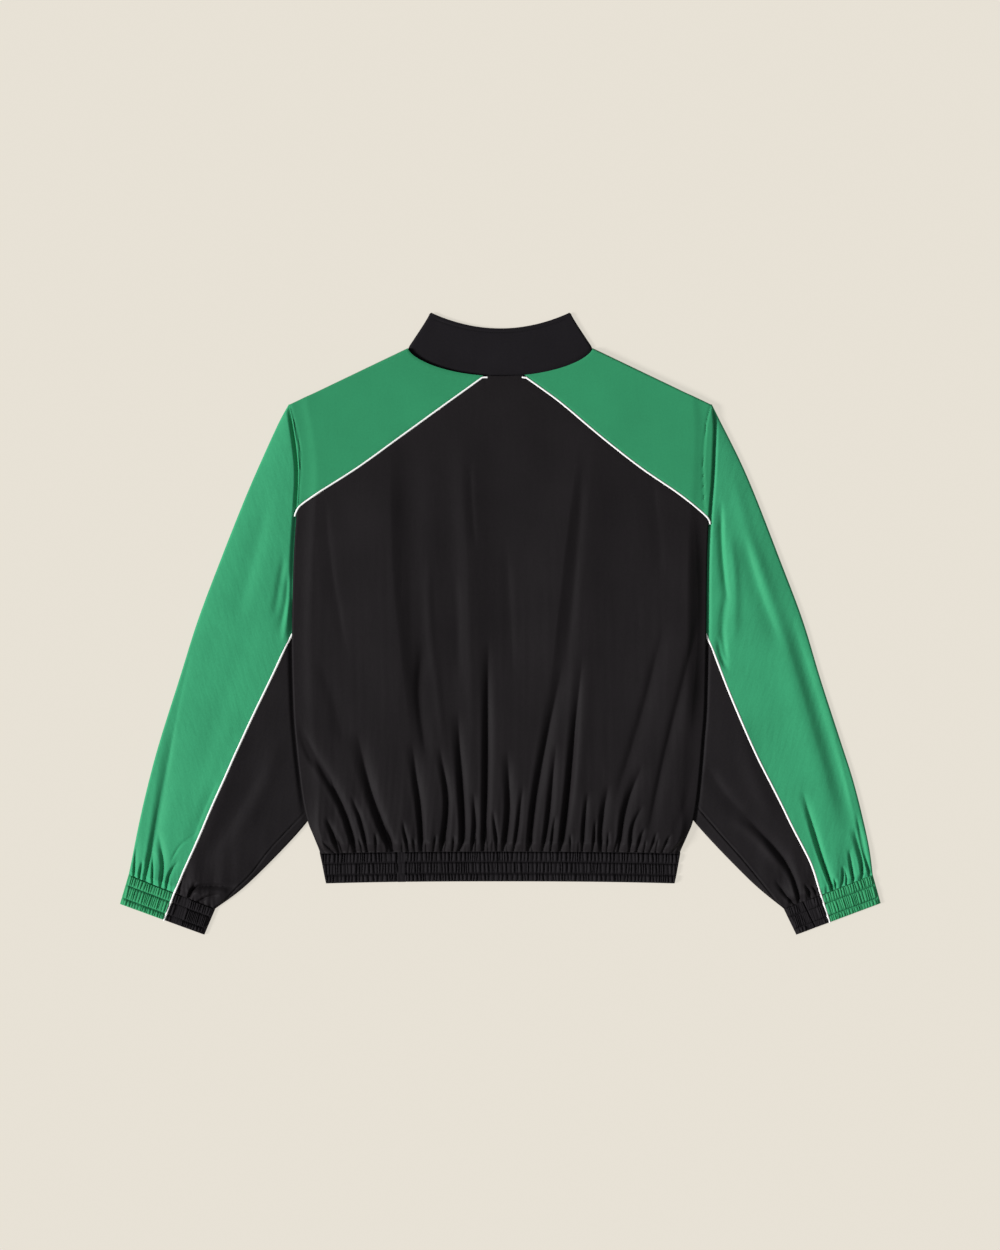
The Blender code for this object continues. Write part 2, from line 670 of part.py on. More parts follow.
def waistband_back():
    """The elastic band on the back, with ribs between its stitch lines, over a plain inside."""
    count = 2 * BAND_RIBS + 1
    share = np.linspace(0, 1, count)
    x, y = band_plan(BAND_ROWS, share)
    rib = np.zeros(count)
    rib[1::2] = RIB_HEIGHT * (0.75 + 0.25 * np.sin(2.1 * np.arange(BAND_RIBS)))
    plain = (x > BAND_JOIN[0]) & (x < BAND_JOIN[1])
    drawn = np.array([row[3] for row in BAND_ROWS])[:, None]
    under = WALL + LAYER
    side = smooth(np.minimum(share, 1 - share) * 60)[None, :]
    relief = np.where(plain, 0.3, rib[None, :]) * (1 - 0.6 * drawn)
    top = under + BAND_WALL + side * (0.5 + relief) - 0.35 * drawn
    inner_x, inner_y = x[[0, -1]], y[[0, -1]]
    wall("waistband_back", points(x, y, top), points(inner_x, inner_y, under), "rib_black")


def waistband_front():
    """The band's front half, pressed flat on the surface."""
    x, y = band_plan([BAND_ROWS[0], BAND_ROWS[-1]], np.linspace(0, 1, 25))
    wall("waistband_front", points(x, y, WALL), points(x, y, 0.0), "rib_black")


# ---------------------------------------------------------------- collar
COLLAR_EDGE_R = 2.1  # outer radius of the collar's folded sides
COLLAR_ROWS = [
    # half_width, y at the sides, back_drop, front_drop, bend of the back's curve
    (117.0, 349.2, 36.0, 106.0, 0.62),
    (108.5, 362.0, 30.5, 97.0, 0.72),
    (98.0, 378.0, 23.0, 88.0, 0.84),
    (91.3, 389.0, 20.5, 84.0, 0.96),
    (89.8, 392.3, 20.2, 83.2, 1.0),
    (87.8, 394.0, 20.0, 83.0, 1.0),
]


def collar():
    """The stand collar, a ring pressed flat: its back half on top, its deeper front half under it."""
    back = np.linspace(0, 1, 15)
    front = np.linspace(1, 0, 13)
    r = COLLAR_EDGE_R
    skins = []
    for radius, depth in ((r, 0.0), (r - WALL, WALL)):
        rows = []
        for half_width, y_side, back_drop, front_drop, bend in COLLAR_ROWS:
            ring = []
            reach = half_width - r
            for share in back:
                x = reach * (2 * share - 1)
                dip = back_drop * max(0.0, 1 - (2 * share - 1) ** 2) ** bend
                ring.append((x, y_side - dip, 2 * r - depth))
            for angle in (45, 0, -45):
                turn = math.radians(angle)
                ring.append((reach + radius * math.cos(turn), y_side, r + radius * math.sin(turn)))
            for share in front:
                x = reach * (2 * share - 1)
                dip = front_drop * max(0.0, 1 - (2 * share - 1) ** 2) ** NECK_BEND
                ring.append((x, y_side - dip, depth))
            for angle in (-45, 0, 45):
                turn = math.radians(angle)
                ring.append((-reach - radius * math.cos(turn), y_side, r + radius * math.sin(turn)))
            rows.append(ring)
        skins.append(np.array(rows, float))
    wall("collar", skins[0], skins[1], "collar_cloth", ring=True)


# ---------------------------------------------------------------- the whole garment
def main():
    """Clears the scene and builds every piece."""
    for obj in list(bpy.data.objects):
        bpy.data.objects.remove(obj, do_unlink=True)
    front_body()
    back_body()
    for side in ("left", "right"):
        for face in ("front", "back"):
            yoke(side, face)
            yoke_piping(side, face)
        sleeve(side)
        sleeve_piping(side)
        cuff(side)
    waistband_front()
    waistband_back()
    collar()


main()
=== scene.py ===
"""The looks of a training jacket with a stand collar, laid flat on its front.

Tables and sizes are in mm, seen from above: x to the right, y towards the collar, z up from the surface
it lies on. The meshes are in metres.
"""

import math

import bpy
import numpy as np
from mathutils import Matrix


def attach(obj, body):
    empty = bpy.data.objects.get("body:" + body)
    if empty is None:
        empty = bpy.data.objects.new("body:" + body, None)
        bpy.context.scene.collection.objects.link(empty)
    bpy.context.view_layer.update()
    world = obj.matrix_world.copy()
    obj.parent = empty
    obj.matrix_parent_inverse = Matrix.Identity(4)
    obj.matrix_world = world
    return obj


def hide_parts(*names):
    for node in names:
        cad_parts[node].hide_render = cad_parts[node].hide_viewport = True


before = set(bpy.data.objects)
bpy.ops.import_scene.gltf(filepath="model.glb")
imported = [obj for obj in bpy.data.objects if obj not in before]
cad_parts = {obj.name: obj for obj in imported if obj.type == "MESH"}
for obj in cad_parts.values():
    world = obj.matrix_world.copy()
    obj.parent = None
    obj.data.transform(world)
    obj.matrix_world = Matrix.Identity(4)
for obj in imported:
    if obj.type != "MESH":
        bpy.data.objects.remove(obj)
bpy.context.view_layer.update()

# ------------ sizes shared with the solids (mm)
MM = 0.001
SIGN = {"left": -1, "right": 1}
WALL = 1.2  # the solids' cloth
LAYER = 0.4  # air between two layers
HEM_Y = -288.0
NECK_HALF = 117
NECK_Y = 349
NECK_DROP = {"back": 36, "front": 106}
NECK_BEND = 0.62  # below 1 the neck's curve is flatter in the middle and steeper at its ends
SLEEVE_EDGE_R = 1.75  # of the sleeves' folded edges
SLEEVE_FLAT = 2 * SLEEVE_EDGE_R
PIPING_CREST = 0.8  # height of the piping over the sleeve
BODY_OVER_SLEEVE = SLEEVE_FLAT + PIPING_CREST + LAYER
CLEAR_OF_FOLD = 4.8  # the body's panels stay up this far past a sleeve's inner fold
SLEEVE_START_Y = 266.0  # above this the body's panels lie as they do here
LIFT_RAMP = 13.0  # from there they come down over this width
CORNER_SAG = 2.6  # the hem's corners lie this far below its middle
COLLAR_EDGE_R = 2.1

# ------------ sizes of the looks (mm)
CLOTH = 0.7  # thickness of the cloth shells
CORD_R = 1.25  # radius of the sleeves' piping
YOKE_CORD_R = 1.12
BESIDE_CORD = CORD_R + 0.1  # the panels' edges lie this far from the piping's middle
FLAT_CORD_R, FLAT_CORD_Z = 0.75, 0.5625  # the piping under the jacket and its middle's height
PIPING_SHORT = 4.5  # the yokes' piping stops this far from the neck's seam
CORD_PRESSED = 0.7  # height of the piping over its width
CORD_SUNK = 0.15  # the cord's middle lies this far under the cloth's face
SEAM_REACH = 0.22  # the cloth reaches this far past the solids' edges, so that its seams close
BACK_RAMP = 80.0  # the back settles from the sleeves' margins to the middle over this width
BACK_PUFF = 6.2  # air under the back, between the panels
BLOUSE = 5.5  # how far the back stands up above the waistband's seam
SLEEVE_PUFF = 4.0
SLEEVE_BLOUSE = 4.0
GATHER_DEPTH = 2.4  # what the gathers' tabled depths are multiplied by
STITCH_GROOVE = 1.15  # half the width of the groove at a stitch line
GATHER_WIDER = ((2.8, 1.3), (1.8, 1.15))  # at least this deep, a gather is so many times its tabled width
GATHER_LEAN = -0.2  # below 0 a gather's left wall is steeper than its right one
GATHER_LIP = 0.1  # the ridge on a gather's left, in shares of its depth
SLEEVE_FOLD_DEPTH = 2.4  # what the tabled heights of the sleeves' soft folds are multiplied by
PUCKER = 1.3  # depth of the small puckers between the gathers
PUCKER_PITCH = 6.5
HEM_SPLAY = 0.12 / 228  # how much the puckers fan out, upwards and from the middle
RIB_RISE = 2.7  # height of the elastic's ribs
SEAM_GROOVE = 0.8  # depth of the groove where the elastic is sewn on, in shares of RIB_RISE
BAND_END = 0.9  # the elastic's ribs end over this width
EDGE_ROLL = 2.2  # the back's edges roll down to the front's over this width
LOW_EDGE = 0.3  # the level that they roll down to
FRONT_INSET = 1.3  # the front's edges lie this far inside the back's

# Outline of the body from the hem up: the side edges, then the armhole seams up to the shoulder's tip.
BODY_OUTLINE = [
    # y, left_x, right_x
    (-288, -229, 228),
    (-271, -236, 236),
    (-250, -244, 244),
    (-223, -250, 249),
    (-185, -255, 253),
    (-147, -259, 256),
    (-106, -262, 259),
    (-21, -264, 261),
    (77, -262, 262),
    (136, -258.5, 264.5),
    (182, -256, 268),
    (214, -257.5, 269.5),
    (252, -263, 270.5),
    (277, -268, 268),
]

# The piped seams of the yokes, from the armhole to a point past the neck's seam.
YOKE_SEAMS = {
    # side: (x, y) ...
    "left": [(-258.5, 143), (-249, 153), (-228, 167), (-178, 199), (-127, 236), (-76, 273), (-26, 309),
             (4, 331)],
    "right": [(264.5, 133), (250, 145), (228, 163), (177, 198), (126, 238), (76, 280), (36, 309), (6, 331)],
}
# The ends of the yokes' piping, which curl down at the armhole and along the collar at the neck.
PIPING_ENDS = {
    # side: points at the armhole, points at the neck
    "left": ([(-260, 136.5), (-258.4, 141.5)], [(-22.5, 311.4), (-16.5, 311.6)]),
    "right": ([(265.6, 126.5), (264.2, 131)], [(33.5, 310.9), (28, 311.6)]),
}

# The sleeves, laid flat, from the shoulder to the end of the cuff. The outer edge is a fold, and the
# inner one runs under the body. piping is the piping's place across, in shares from the outer edge.
SLEEVES = {
    "left": [
        # outer_x, outer_y, inner_x, inner_y, piping
        (-268, 278, -254, 273, 0.60),
        (-281, 254, -244, 233, 0.75),
        (-303, 206, -238, 182, 0.87),
        (-325, 155, -238, 119, 0.90),
        (-354, 82, -238, 30, 0.93),
        (-383, 5, -236, -46, 0.745),
        (-407, -71, -231, -116, 0.586),
        (-431, -147, -226, -166, 0.486),
        (-445, -198, -221, -207, 0.417),
        (-457, -249, -247, -254, 0.399),
        (-467, -299, -317, -327, 0.447),
        (-471, -318, -361, -361, 0.529),
        (-482, -355, -375, -394, 0.524),
    ],
    "right": [
        (268, 278, 253, 273, 0.60),
        (278, 258, 243, 233, 0.75),
        (304, 206, 238, 182, 0.87),
        (325, 157, 238, 119, 0.90),
        (354, 82, 238, 30, 0.93),
        (383, 5, 235, -46, 0.767),
        (406, -71, 230, -116, 0.631),
        (430, -145, 225, -166, 0.539),
        (447, -198, 220, -207, 0.461),
        (460, -249, 245, -250, 0.438),
        (468, -287, 314, -323, 0.484),
        (472, -318, 359, -361, 0.584),
        (482, -354, 375, -394, 0.605),
    ],
}
CUFF_STATION = 11  # the row of SLEEVES where the cuff is sewn on
JOIN_GAP = 0.003  # half the gap between a sleeve and its cuff, in rows

# Gathers of the back. Each valley runs from the hem through a middle point to its head.
HEM_GATHERS = [
    # hem_x, mid_x, mid_y, head_x, head_y, depth, half_width at the hem, at the head
    (-223, -229, -280, -234, -273, 1.2, 1.5, 1.8),
    (-212, -219, -281, -226, -274, 1.6, 1.6, 2),
    (-204, -211, -268, -220, -244, 2.8, 2.2, 2.6),
    (-200, -203, -279, -207, -268, 2, 1.6, 1.8),
    (-192, -191, -282, -191, -276, 0.9, 1.2, 1.4),
    (-183, -203, -224, -256, -132, 3, 2.4, 5),
    (-175, -176, -281, -179, -271, 1.4, 1.4, 1.6),
    (-168, -177, -248, -189, -216, 2.6, 1.8, 3),
    (-157, -157, -277, -158, -264, 1.6, 1.5, 1.7),
    (-143, -143, -281, -145, -273, 1.3, 1.4, 1.6),
    (-137, -161, -222, -182, -135, 3.6, 2.6, 7),
    (-135, -140, -271, -146, -255, 1.8, 1.6, 1.8),
    (-124, -124, -282, -123, -276, 1.1, 1.3, 1.5),
    (-116, -120, -268, -123, -249, 2.2, 1.6, 2.2),
    (-108, -109, -280, -110, -270, 1.4, 1.4, 1.6),
    (-99, -102, -232, -112, -148, 3, 2, 4.5),
    (-94, -94, -281, -95, -273, 1.4, 1.4, 1.6),
    (-84, -83, -278, -81, -266, 1.7, 1.5, 1.7),
    (-74, -67, -223, -77, -155, 3.2, 2.2, 3.6),
    (-70, -69, -279, -70, -268, 1.3, 1.3, 1.5),
    (-60, -59, -280, -58, -268, 1.8, 1.5, 1.7),
    (-52, -47, -255, -54, -110, 3.8, 2.2, 5),
    (-36, -32, -252, -34, -212, 2.4, 1.8, 3.2),
    (-31, -31, -278, -31, -267, 1.6, 1.4, 1.6),
    (-21, -18, -200, -15, -20, 3.6, 2.4, 4.5),
    (-15, -17, -268, -20, -250, 1.8, 1.5, 1.8),
    (-10, -10, -280, -9, -273, 1.2, 1.3, 1.5),
    (-4, -6, -262, -9, -236, 2.2, 1.6, 2.2),
    (4, 11, -232, 9, -160, 3, 2.4, 4.5),
    (9, 8, -280, 8, -272, 1.2, 1.3, 1.5),
    (17, 22, -258, 29, -204, 2.4, 1.8, 3.4),
    (36, 47, -205, 79, -50, 3.2, 2.2, 6),
    (41, 39, -279, 37, -267, 1.8, 1.5, 1.7),
    (54, 62, -236, 71, -150, 2.8, 2, 3.6),
    (64, 66, -268, 70, -242, 2, 1.6, 2),
    (76, 87, -205, 104, -40, 3.8, 2.4, 5),
    (89, 89, -277, 89, -265, 1.6, 1.5, 1.7),
    (99, 99, -281, 99, -275, 1.2, 1.3, 1.4),
    (104, 106, -255, 111, -212, 2.6, 1.8, 3),
    (117, 119, -268, 121, -246, 2, 1.6, 2),
    (128, 127, -262, 137, -203, 2.8, 1.8, 4),
    (135, 136, -277, 137, -262, 1.6, 1.4, 1.6),
    (145, 147, -278, 150, -267, 1.6, 1.4, 1.6),
    (150, 158, -236, 180, -178, 3.2, 2, 5),
    (164, 167, -258, 180, -230, 2.4, 1.8, 3),
    (173, 177, -272, 183, -258, 2.4, 1.8, 2.2),
    (182, 183, -281, 184, -273, 1.3, 1.4, 1.5),
    (190, 194, -276, 198, -263, 1.8, 1.6, 1.8),
    (197, 198, -280, 200, -271, 1.3, 1.3, 1.5),
    (206, 210, -277, 216, -266, 1.8, 1.6, 1.8),
    (219, 224, -281, 231, -273, 1.8, 1.7, 1.9),
]

# Soft folds of the back, each through three points. Troughs have negative heights. A lean above 0 makes
# the left side wider and the right one steeper, and one below 0 does the reverse.
BACK_FOLDS = [
    # x0, y0, x1, y1, x2, y2, height, half_width at the start, at the end, lean
    (-139, 215, -136, 60, -114, -140, 6, 49, 44, 0.63),
    (-90, 225, -87, 100, -82, -60, 2.4, 25, 24, -0.1),
    (-48, 215, -41, 80, -33, -130, 3.2, 21, 18, -0.3),
    (96, 205, 80, 80, 62, -90, 4, 26, 24, 0.6),
    (118, 215, 106, 60, 91, -110, 2.9, 21, 21, -0.25),
    (106, -60, 100, -130, 93, -225, 2, 9, 8, -0.2),
    (246, 120, 250, 0, 240, -130, 7.4, 61, 54, 0.8),
    (-91, 75, -90, 10, -70, -160, 0.8, 6, 5, 0),
    (-98, -30, -103, -90, -94, -165, -2.2, 8, 6, -0.3),
    (-58, 60, -55, 10, -53, -60, -0.7, 6, 6, 0),
    (-38, 200, -36, 150, -32, 100, -0.8, 5, 5, 0.3),
    (8, 90, 12, 20, 16, -60, -0.8, 7, 7, 0.3),
    (104, 190, 96, 80, 84, -40, -0.7, 5, 5, 0),
    (-222, 150, -212, 60, -197, -25, -0.9, 8, 6, 0.4),
    (-256, -125, -249, -150, -237, -178, -2.6, 4, 5, -0.2),
    (-228, -46, -211, -97, -197, -154, -1.5, 14, 12, -0.3),
    (203, -20, 178, -118, 147, -220, -2.4, 8, 9, -0.4),
    (188, -262, 212, -150, 253, 10, -2.8, 6, 9, -0.4),
    (253, -147, 240, -211, 222, -261, -1.4, 9, 7, -0.2),
    (192, 185, 198, 130, 205, 60, -0.7, 8, 8, 0.3),
]

# Gathers of the sleeves above the cuffs, from the cuff up, and soft folds along the sleeves.
CUFF_GATHERS = [
    # the same columns as in BACK_FOLDS
    (-450, -325, -436, -255, -413, -130, -2.4, 2.8, 9, -0.3),
    (-464, -320, -463, -304, -461, -270, -1.8, 1.5, 2.2, -0.2),
    (-457, -322, -456, -314, -453, -300, -2.2, 1.6, 1.8, -0.2),
    (-440, -327, -440, -312, -440, -288, -1.9, 1.5, 2, -0.2),
    (-430, -334, -427, -302, -434, -262, -2.2, 2, 4.5, -0.2),
    (-423, -337, -419, -318, -408, -301, -2.3, 1.7, 2.4, -0.2),
    (-406, -342, -405, -332, -402, -320, -1.8, 1.8, 3, -0.2),
    (-397, -349, -382, -333, -333, -333, -2.8, 2.2, 4, -0.2),
    (-393, -345, -390, -335, -384, -326, -2, 1.6, 3, -0.2),
    (-382, -352, -371, -346, -356, -343, -2.2, 1.8, 3, -0.2),
    (420, -336, 404, -288, 383, -211, -3.4, 2, 4.5, -0.2),
    (425, -335, 424, -329, 422, -321, -1.9, 1.5, 1.8, -0.2),
    (432, -332, 433, -322, 434, -306, -2, 1.5, 2, -0.2),
    (438, -328, 438, -321, 436, -309, -1.4, 1.4, 1.8, -0.2),
    (447, -325, 444, -306, 442, -284, -2.2, 1.6, 3, -0.2),
    (458, -322, 457, -300, 448, -258, -2.8, 1.7, 5, -0.2),
    (468, -319, 461, -290, 451, -240, -2.6, 1.6, 2.6, -0.2),
    (380, -356, 362, -303, 306, -239, -2.6, 2.4, 8, -0.2),
    (378, -361, 364, -346, 347, -323, -2, 2, 4, -0.2),
    (393, -347, 390, -339, 385, -328, -1.8, 1.7, 2.4, -0.2),
    (401, -345, 398, -337, 393, -330, -1.6, 1.5, 2.2, -0.2),
]

SLEEVE_FOLDS = [
    # the same columns
    (-441, -290, -430, -230, -411, -150, 0.4, 4, 7, 0),
    (-374, -346, -363, -339, -345, -339, 1, 4, 4, 0),
    (-302, -185, -340, -249, -373, -302, -0.8, 13, 12, 0.2),
    (-279, -147, -302, -211, -332, -268, 0.7, 13, 11, 0),
    (-323, -135, -352, -211, -380, -287, 0.6, 11, 10, 0),
    (-269, 62, -271, 30, -278, -6, -1.1, 3, 4, 0.3),
    (-266, 30, -270, 7, -274, -21, 0.8, 3, 3, 0),
    (-274, 81, -280, 43, -285, 11, -0.8, 4, 5, 0),
    (-294, 157, -314, 81, -335, 5, -0.8, 12, 12, 0.2),
    (-349, 81, -374, 5, -393, -71, 0.4, 14, 13, 0),
    (-311, 5, -345, -84, -378, -173, -0.3, 14, 12, 0),
    (-336, -122, -363, -185, -393, -261, 0.3, 11, 10, 0),
    (-391, -30, -408, -105, -424, -195, -0.8, 6, 6, 0.6),
    (-416, -299, -404, -280, -384, -266, -0.5, 1.6, 1.8, 0.2),
    (-390, -275, -376, -238, -361, -205, -0.5, 6, 5, 0.6),
    (446, -264, 425, -178, 371, 0, -3, 11, 9, 0.3),
    (424, -245, 405, -172, 361, -20, 1.5, 15, 14, 0.3),
    (450, -250, 431, -172, 408, -80, 0.6, 2.2, 2.6, 0),
    (306, -239, 285, -217, 263, -185, -1, 9, 10, 0.3),
    (354, -309, 329, -274, 297, -249, 1, 6, 8, 0),
    (304, -122, 319, -185, 348, -249, 0.7, 12, 11, 0),
    (280, 146, 281, 96, 287, 32, -1.6, 4, 4, 0.4),
    (287, 36, 282, -6, 286, -49, -1.4, 4, 4, 0.3),
    (292, 106, 297, 43, 295, -21, 0.8, 6, 6, 0),
    (309, 106, 329, 39, 352, -21, -1, 7, 9, 0.3),
    (297, 182, 316, 106, 339, 30, 0.6, 8, 9, 0),
    (319, 106, 344, 30, 369, -46, 0.8, 8, 9, 0),
    (276, -21, 279, -40, 286, -56, -1, 3, 3, 0),
]

# The underarm seams, on the sleeves' back layer near the inner fold.
UNDERARM_SEAMS = {
    "left": [(-235, -226), (-247.3, -239.1), (-272.6, -265.1), (-294.2, -288.8), (-314.8, -315.8),
             (-332.2, -333.1), (-348.6, -349.9), (-361.3, -359.4)],
    "right": [(238, -220), (249.7, -232.8), (276.1, -263.5), (307.7, -299.3), (335.2, -333.1),
              (352, -354.1), (360.5, -360.5)],
}
# The topstitching beside the armholes, on the back yokes.
ARMHOLE_STITCHES = {
    "left": [(-266, 275.3), (-258.7, 247.8), (-253.6, 219.9), (-253.1, 194.6), (-255, 160), (-255.5, 152)],
    "right": [(266.3, 276), (260.5, 251.6), (256.7, 207.2), (257.4, 169.2), (258, 146)],
}

# The waistband in three bands between its edges and two stitch lines.
BAND_ROWS = [
    # y in the middle, left_x, right_x
    (-288.3, -229, 228.3),
    (-302, -226, 225.8),
    (-316.5, -223.2, 223.2),
    (-326.5, -221, 221),
]
BAND_JOINS = (-131, -119)  # x of the plain stretch's two ends
BAND_RIB_PITCH = 4.3
CUFF_LINES = (0.0, 0.37, 0.74, 1.0)  # the cuff's edges and its two stitch lines, in shares of its length
CUFF_LENGTH = 39.0
CUFF_RIB_PITCH = 3.0
UNDER_RIBS = 0.55  # height of the ribs under the cuff, which lie on the surface
CUFF_PLAIN = {"left": (32, 48, 3), "right": (14, 40, 4)}  # from and to, from the fold, and its soft ends
CUFF_JOIN = 26  # the right cuff's join lies this far from the fold

COLLAR_ROWS = [
    # half_width, y at the sides, back_drop, front_drop, bend of the back's curve
    (117, 349.2, 36, 106, 0.62),
    (108.5, 362, 30.5, 97, 0.72),
    (98, 378, 23, 88, 0.84),
    (91.3, 389, 20.5, 84, 0.96),
    (89.8, 392.3, 20.2, 83.2, 1),
    (87.8, 394, 20, 83, 1),
]

# How finely the pieces are divided.
BACK_GRID = (156, 566)  # rows, columns
FRONT_GRID = (80, 240)
YOKE_GRID = (70, 110)
BAND_GRIDS = {"back": (42, 760), "front": (42, 400)}
SLEEVE_ROWS = (150, 62)  # above and below row FINE_FROM of SLEEVES, where the cuff's gathers begin
FINE_FROM = 9
SLEEVE_TOPS = {"green": 96, "black": 92}  # columns of the top layer
SLEEVE_BOTTOMS = 30
CUFF_ROWS, CUFF_TOPS, CUFF_BOTTOMS = 46, 130, 100
COLLAR_GRID = (46, 110, 80)  # rows, columns of the back half, of the front half
FOLD_ANGLES = np.radians(np.linspace(75, -75, 9))  # round a folded edge, from top to bottom

# ------------ finishes
CLOTHS = {
    # name: colour (linear), its variation, roughness, pitch and depth of the weave and depth of the crinkle
    # (mm), sheen, angle of the weave
    "green_sleeve_left": ((0.044, 0.335, 0.158), 0.10, 0.55, 0.55, 0.030, 0.11, 0.03, -17),
    "green_sleeve_right": ((0.044, 0.335, 0.158), 0.10, 0.55, 0.55, 0.030, 0.11, 0.03, 17),
    # painted shade: the yokes' green is a darker copy of the sleeves' green, standing for the shade that
    # falls on the shoulders
    "green_yoke_painted_shade": ((0.034, 0.275, 0.124), 0.08, 0.55, 0.55, 0.030, 0.03, 0.03, 0),
    "green_cuff": ((0.040, 0.294, 0.126), 0.12, 0.60, 0.55, 0.030, 0.04, 0.03, 0),
    "black_body": ((0.0136, 0.0117, 0.0128), 0.14, 0.60, 0.55, 0.030, 0.05, 0.005, 0),
    "black_sleeve": ((0.0142, 0.0124, 0.0136), 0.18, 0.60, 0.55, 0.030, 0.05, 0.005, 20),
    "black_collar": ((0.0120, 0.0105, 0.0125), 0.15, 0.65, 0.55, 0.030, 0.03, 0.005, 0),
    "black_rib": ((0.0125, 0.0110, 0.0125), 0.20, 0.70, 0.50, 0.030, 0.03, 0.005, 0),
    "white_piping": ((0.97, 0.97, 0.95), 0.02, 0.45, 0.60, 0.020, 0.00, 0.03, 45),
    # painted shade, in part: the green thread is darker than its own colour so that the stitch lines also
    # carry the shade of their grooves
    "green_thread": ((0.010, 0.085, 0.040), 0.10, 0.45, 0.30, 0.020, 0.00, 0.03, 45),
    "black_thread": ((0.0050, 0.0045, 0.0050), 0.10, 0.45, 0.30, 0.020, 0.00, 0.005, 45),
}
FLOOR_COLOUR = (0.807, 0.760, 0.672)
FLOOR_GLOW = 0.8  # the share of the floor's light that comes through it, as on a light table
FLOOR_HALF, FLOOR_GAP = 15.0, 0.0006  # m
SKY_STRENGTH = 0.26
SUN_STRENGTH = 4.25
SUN_WIDTH = 16  # degrees
SUN_TURN = (9, -57, 0)  # degrees about x, y and z, from shining straight down
CAMERA_PLACE = (-0.0004, -0.0017, 3.742)  # m
LENS, SENSOR = 85.0, 36.0
FIBRE, MOTTLE, CRINKLE = (420.0, 3.0), (14.0, 6.0), (150.0, 5.0)  # scale a metre and detail of the specks


# ------------ curves and height fields
def smooth(t):
    """0 below 0, 1 above 1, and a smooth step between."""
    t = np.clip(t, 0.0, 1.0)
    return t * t * (3 - 2 * t)


def unit(vectors):
    """Vectors of length 1 in the same directions."""
    return vectors / np.linalg.norm(vectors, axis=-1, keepdims=True)


def gone_along(path):
    """The distance gone at each point of a path."""
    return np.concatenate([[0], np.cumsum(np.linalg.norm(np.diff(path, axis=0), axis=1))])


def bell(t):
    """1 at 0, and down to almost nothing at 2 on both sides."""
    return np.exp(-(t**2))


def fade(distance, length):
    """1 up to a distance of 0, and down to almost nothing over a few lengths from there."""
    return np.exp(-np.clip(distance, 0, None) / length)


def spline(rows, at):
    """Every column of a table at the places `at`, counted in rows, on a curve through the rows."""
    table = np.asarray(rows, float)
    at = np.clip(np.asarray(at, float), 0, len(table) - 1)
    i = np.minimum(at.astype(int), len(table) - 2)
    t = (at - i)[:, None]
    before = table[np.maximum(i - 1, 0)]
    after = table[np.minimum(i + 2, len(table) - 1)]
    a, b = table[i], table[i + 1]
    return 0.5 * (2 * a + (b - before) * t + (2 * before - 5 * a + 4 * b - after) * t**2
                  + (3 * a - before - 3 * b + after) * t**3)


def fine(rows, count):
    """The curve through a table's rows as `count` rows."""
    return spline(rows, np.linspace(0, len(rows) - 1, count))


OUTLINE_CURVE = fine(BODY_OUTLINE, 400)
SLEEVE_CURVES = {side: spline(rows, np.linspace(0, CUFF_STATION, 60))[:, 2:4]
                 for side, rows in SLEEVES.items()}


def side_x(side, y):
    """The body's edge at height y, on one side."""
    return np.interp(y, OUTLINE_CURVE[:, 0], OUTLINE_CURVE[:, 1 if side == "left" else 2])


def from_edge(x, y):
    """Distance in from the body's nearer edge, below 0 outside."""
    return np.minimum(x - side_x("left", y), side_x("right", y) - x)


def from_line(x, y, line):
    """Distance in plan from a line of points."""
    nearest = np.full(np.shape(x), np.inf)
    for (ax, ay), (bx, by) in zip(line, line[1:]):
        run = (bx - ax) ** 2 + (by - ay) ** 2
        t = np.clip(((x - ax) * (bx - ax) + (y - ay) * (by - ay)) / run, 0, 1)
        nearest = np.minimum(nearest, np.hypot(x - ax - t * (bx - ax), y - ay - t * (by - ay)))
    return nearest


def lift(x, y, ramp=LIFT_RAMP):
    """Level of the front panel: on the surface, and up over the sleeves' margins at the sides."""
    y = np.minimum(y, SLEEVE_START_Y)
    inside = np.full(np.shape(x), np.inf)
    for side, curve in SLEEVE_CURVES.items():
        reach = np.interp(y, curve[::-1, 1], np.abs(curve[::-1, 0]))
        gap = np.where(np.abs(x) > reach, 0.0, from_line(x, y, curve))
        inside = np.where(x * SIGN[side] > 0, gap, inside)
    return BODY_OVER_SLEEVE * smooth(1 - (inside - CLEAR_OF_FOLD) / ramp)


def noise(x, y, size, seed):
    """Smooth irregular heights, about -1 to 1, with features of about `size`."""
    rng = np.random.default_rng(seed)
    total = np.zeros(np.broadcast(x, y).shape)
    for _ in range(10):
        turn, phase = rng.uniform(0, 2 * math.pi, 2)
        wave = size * rng.uniform(0.7, 1.7)
        total += np.sin((x * math.cos(turn) + y * math.sin(turn)) * 2 * math.pi / wave + phase)
    return total / 3.2


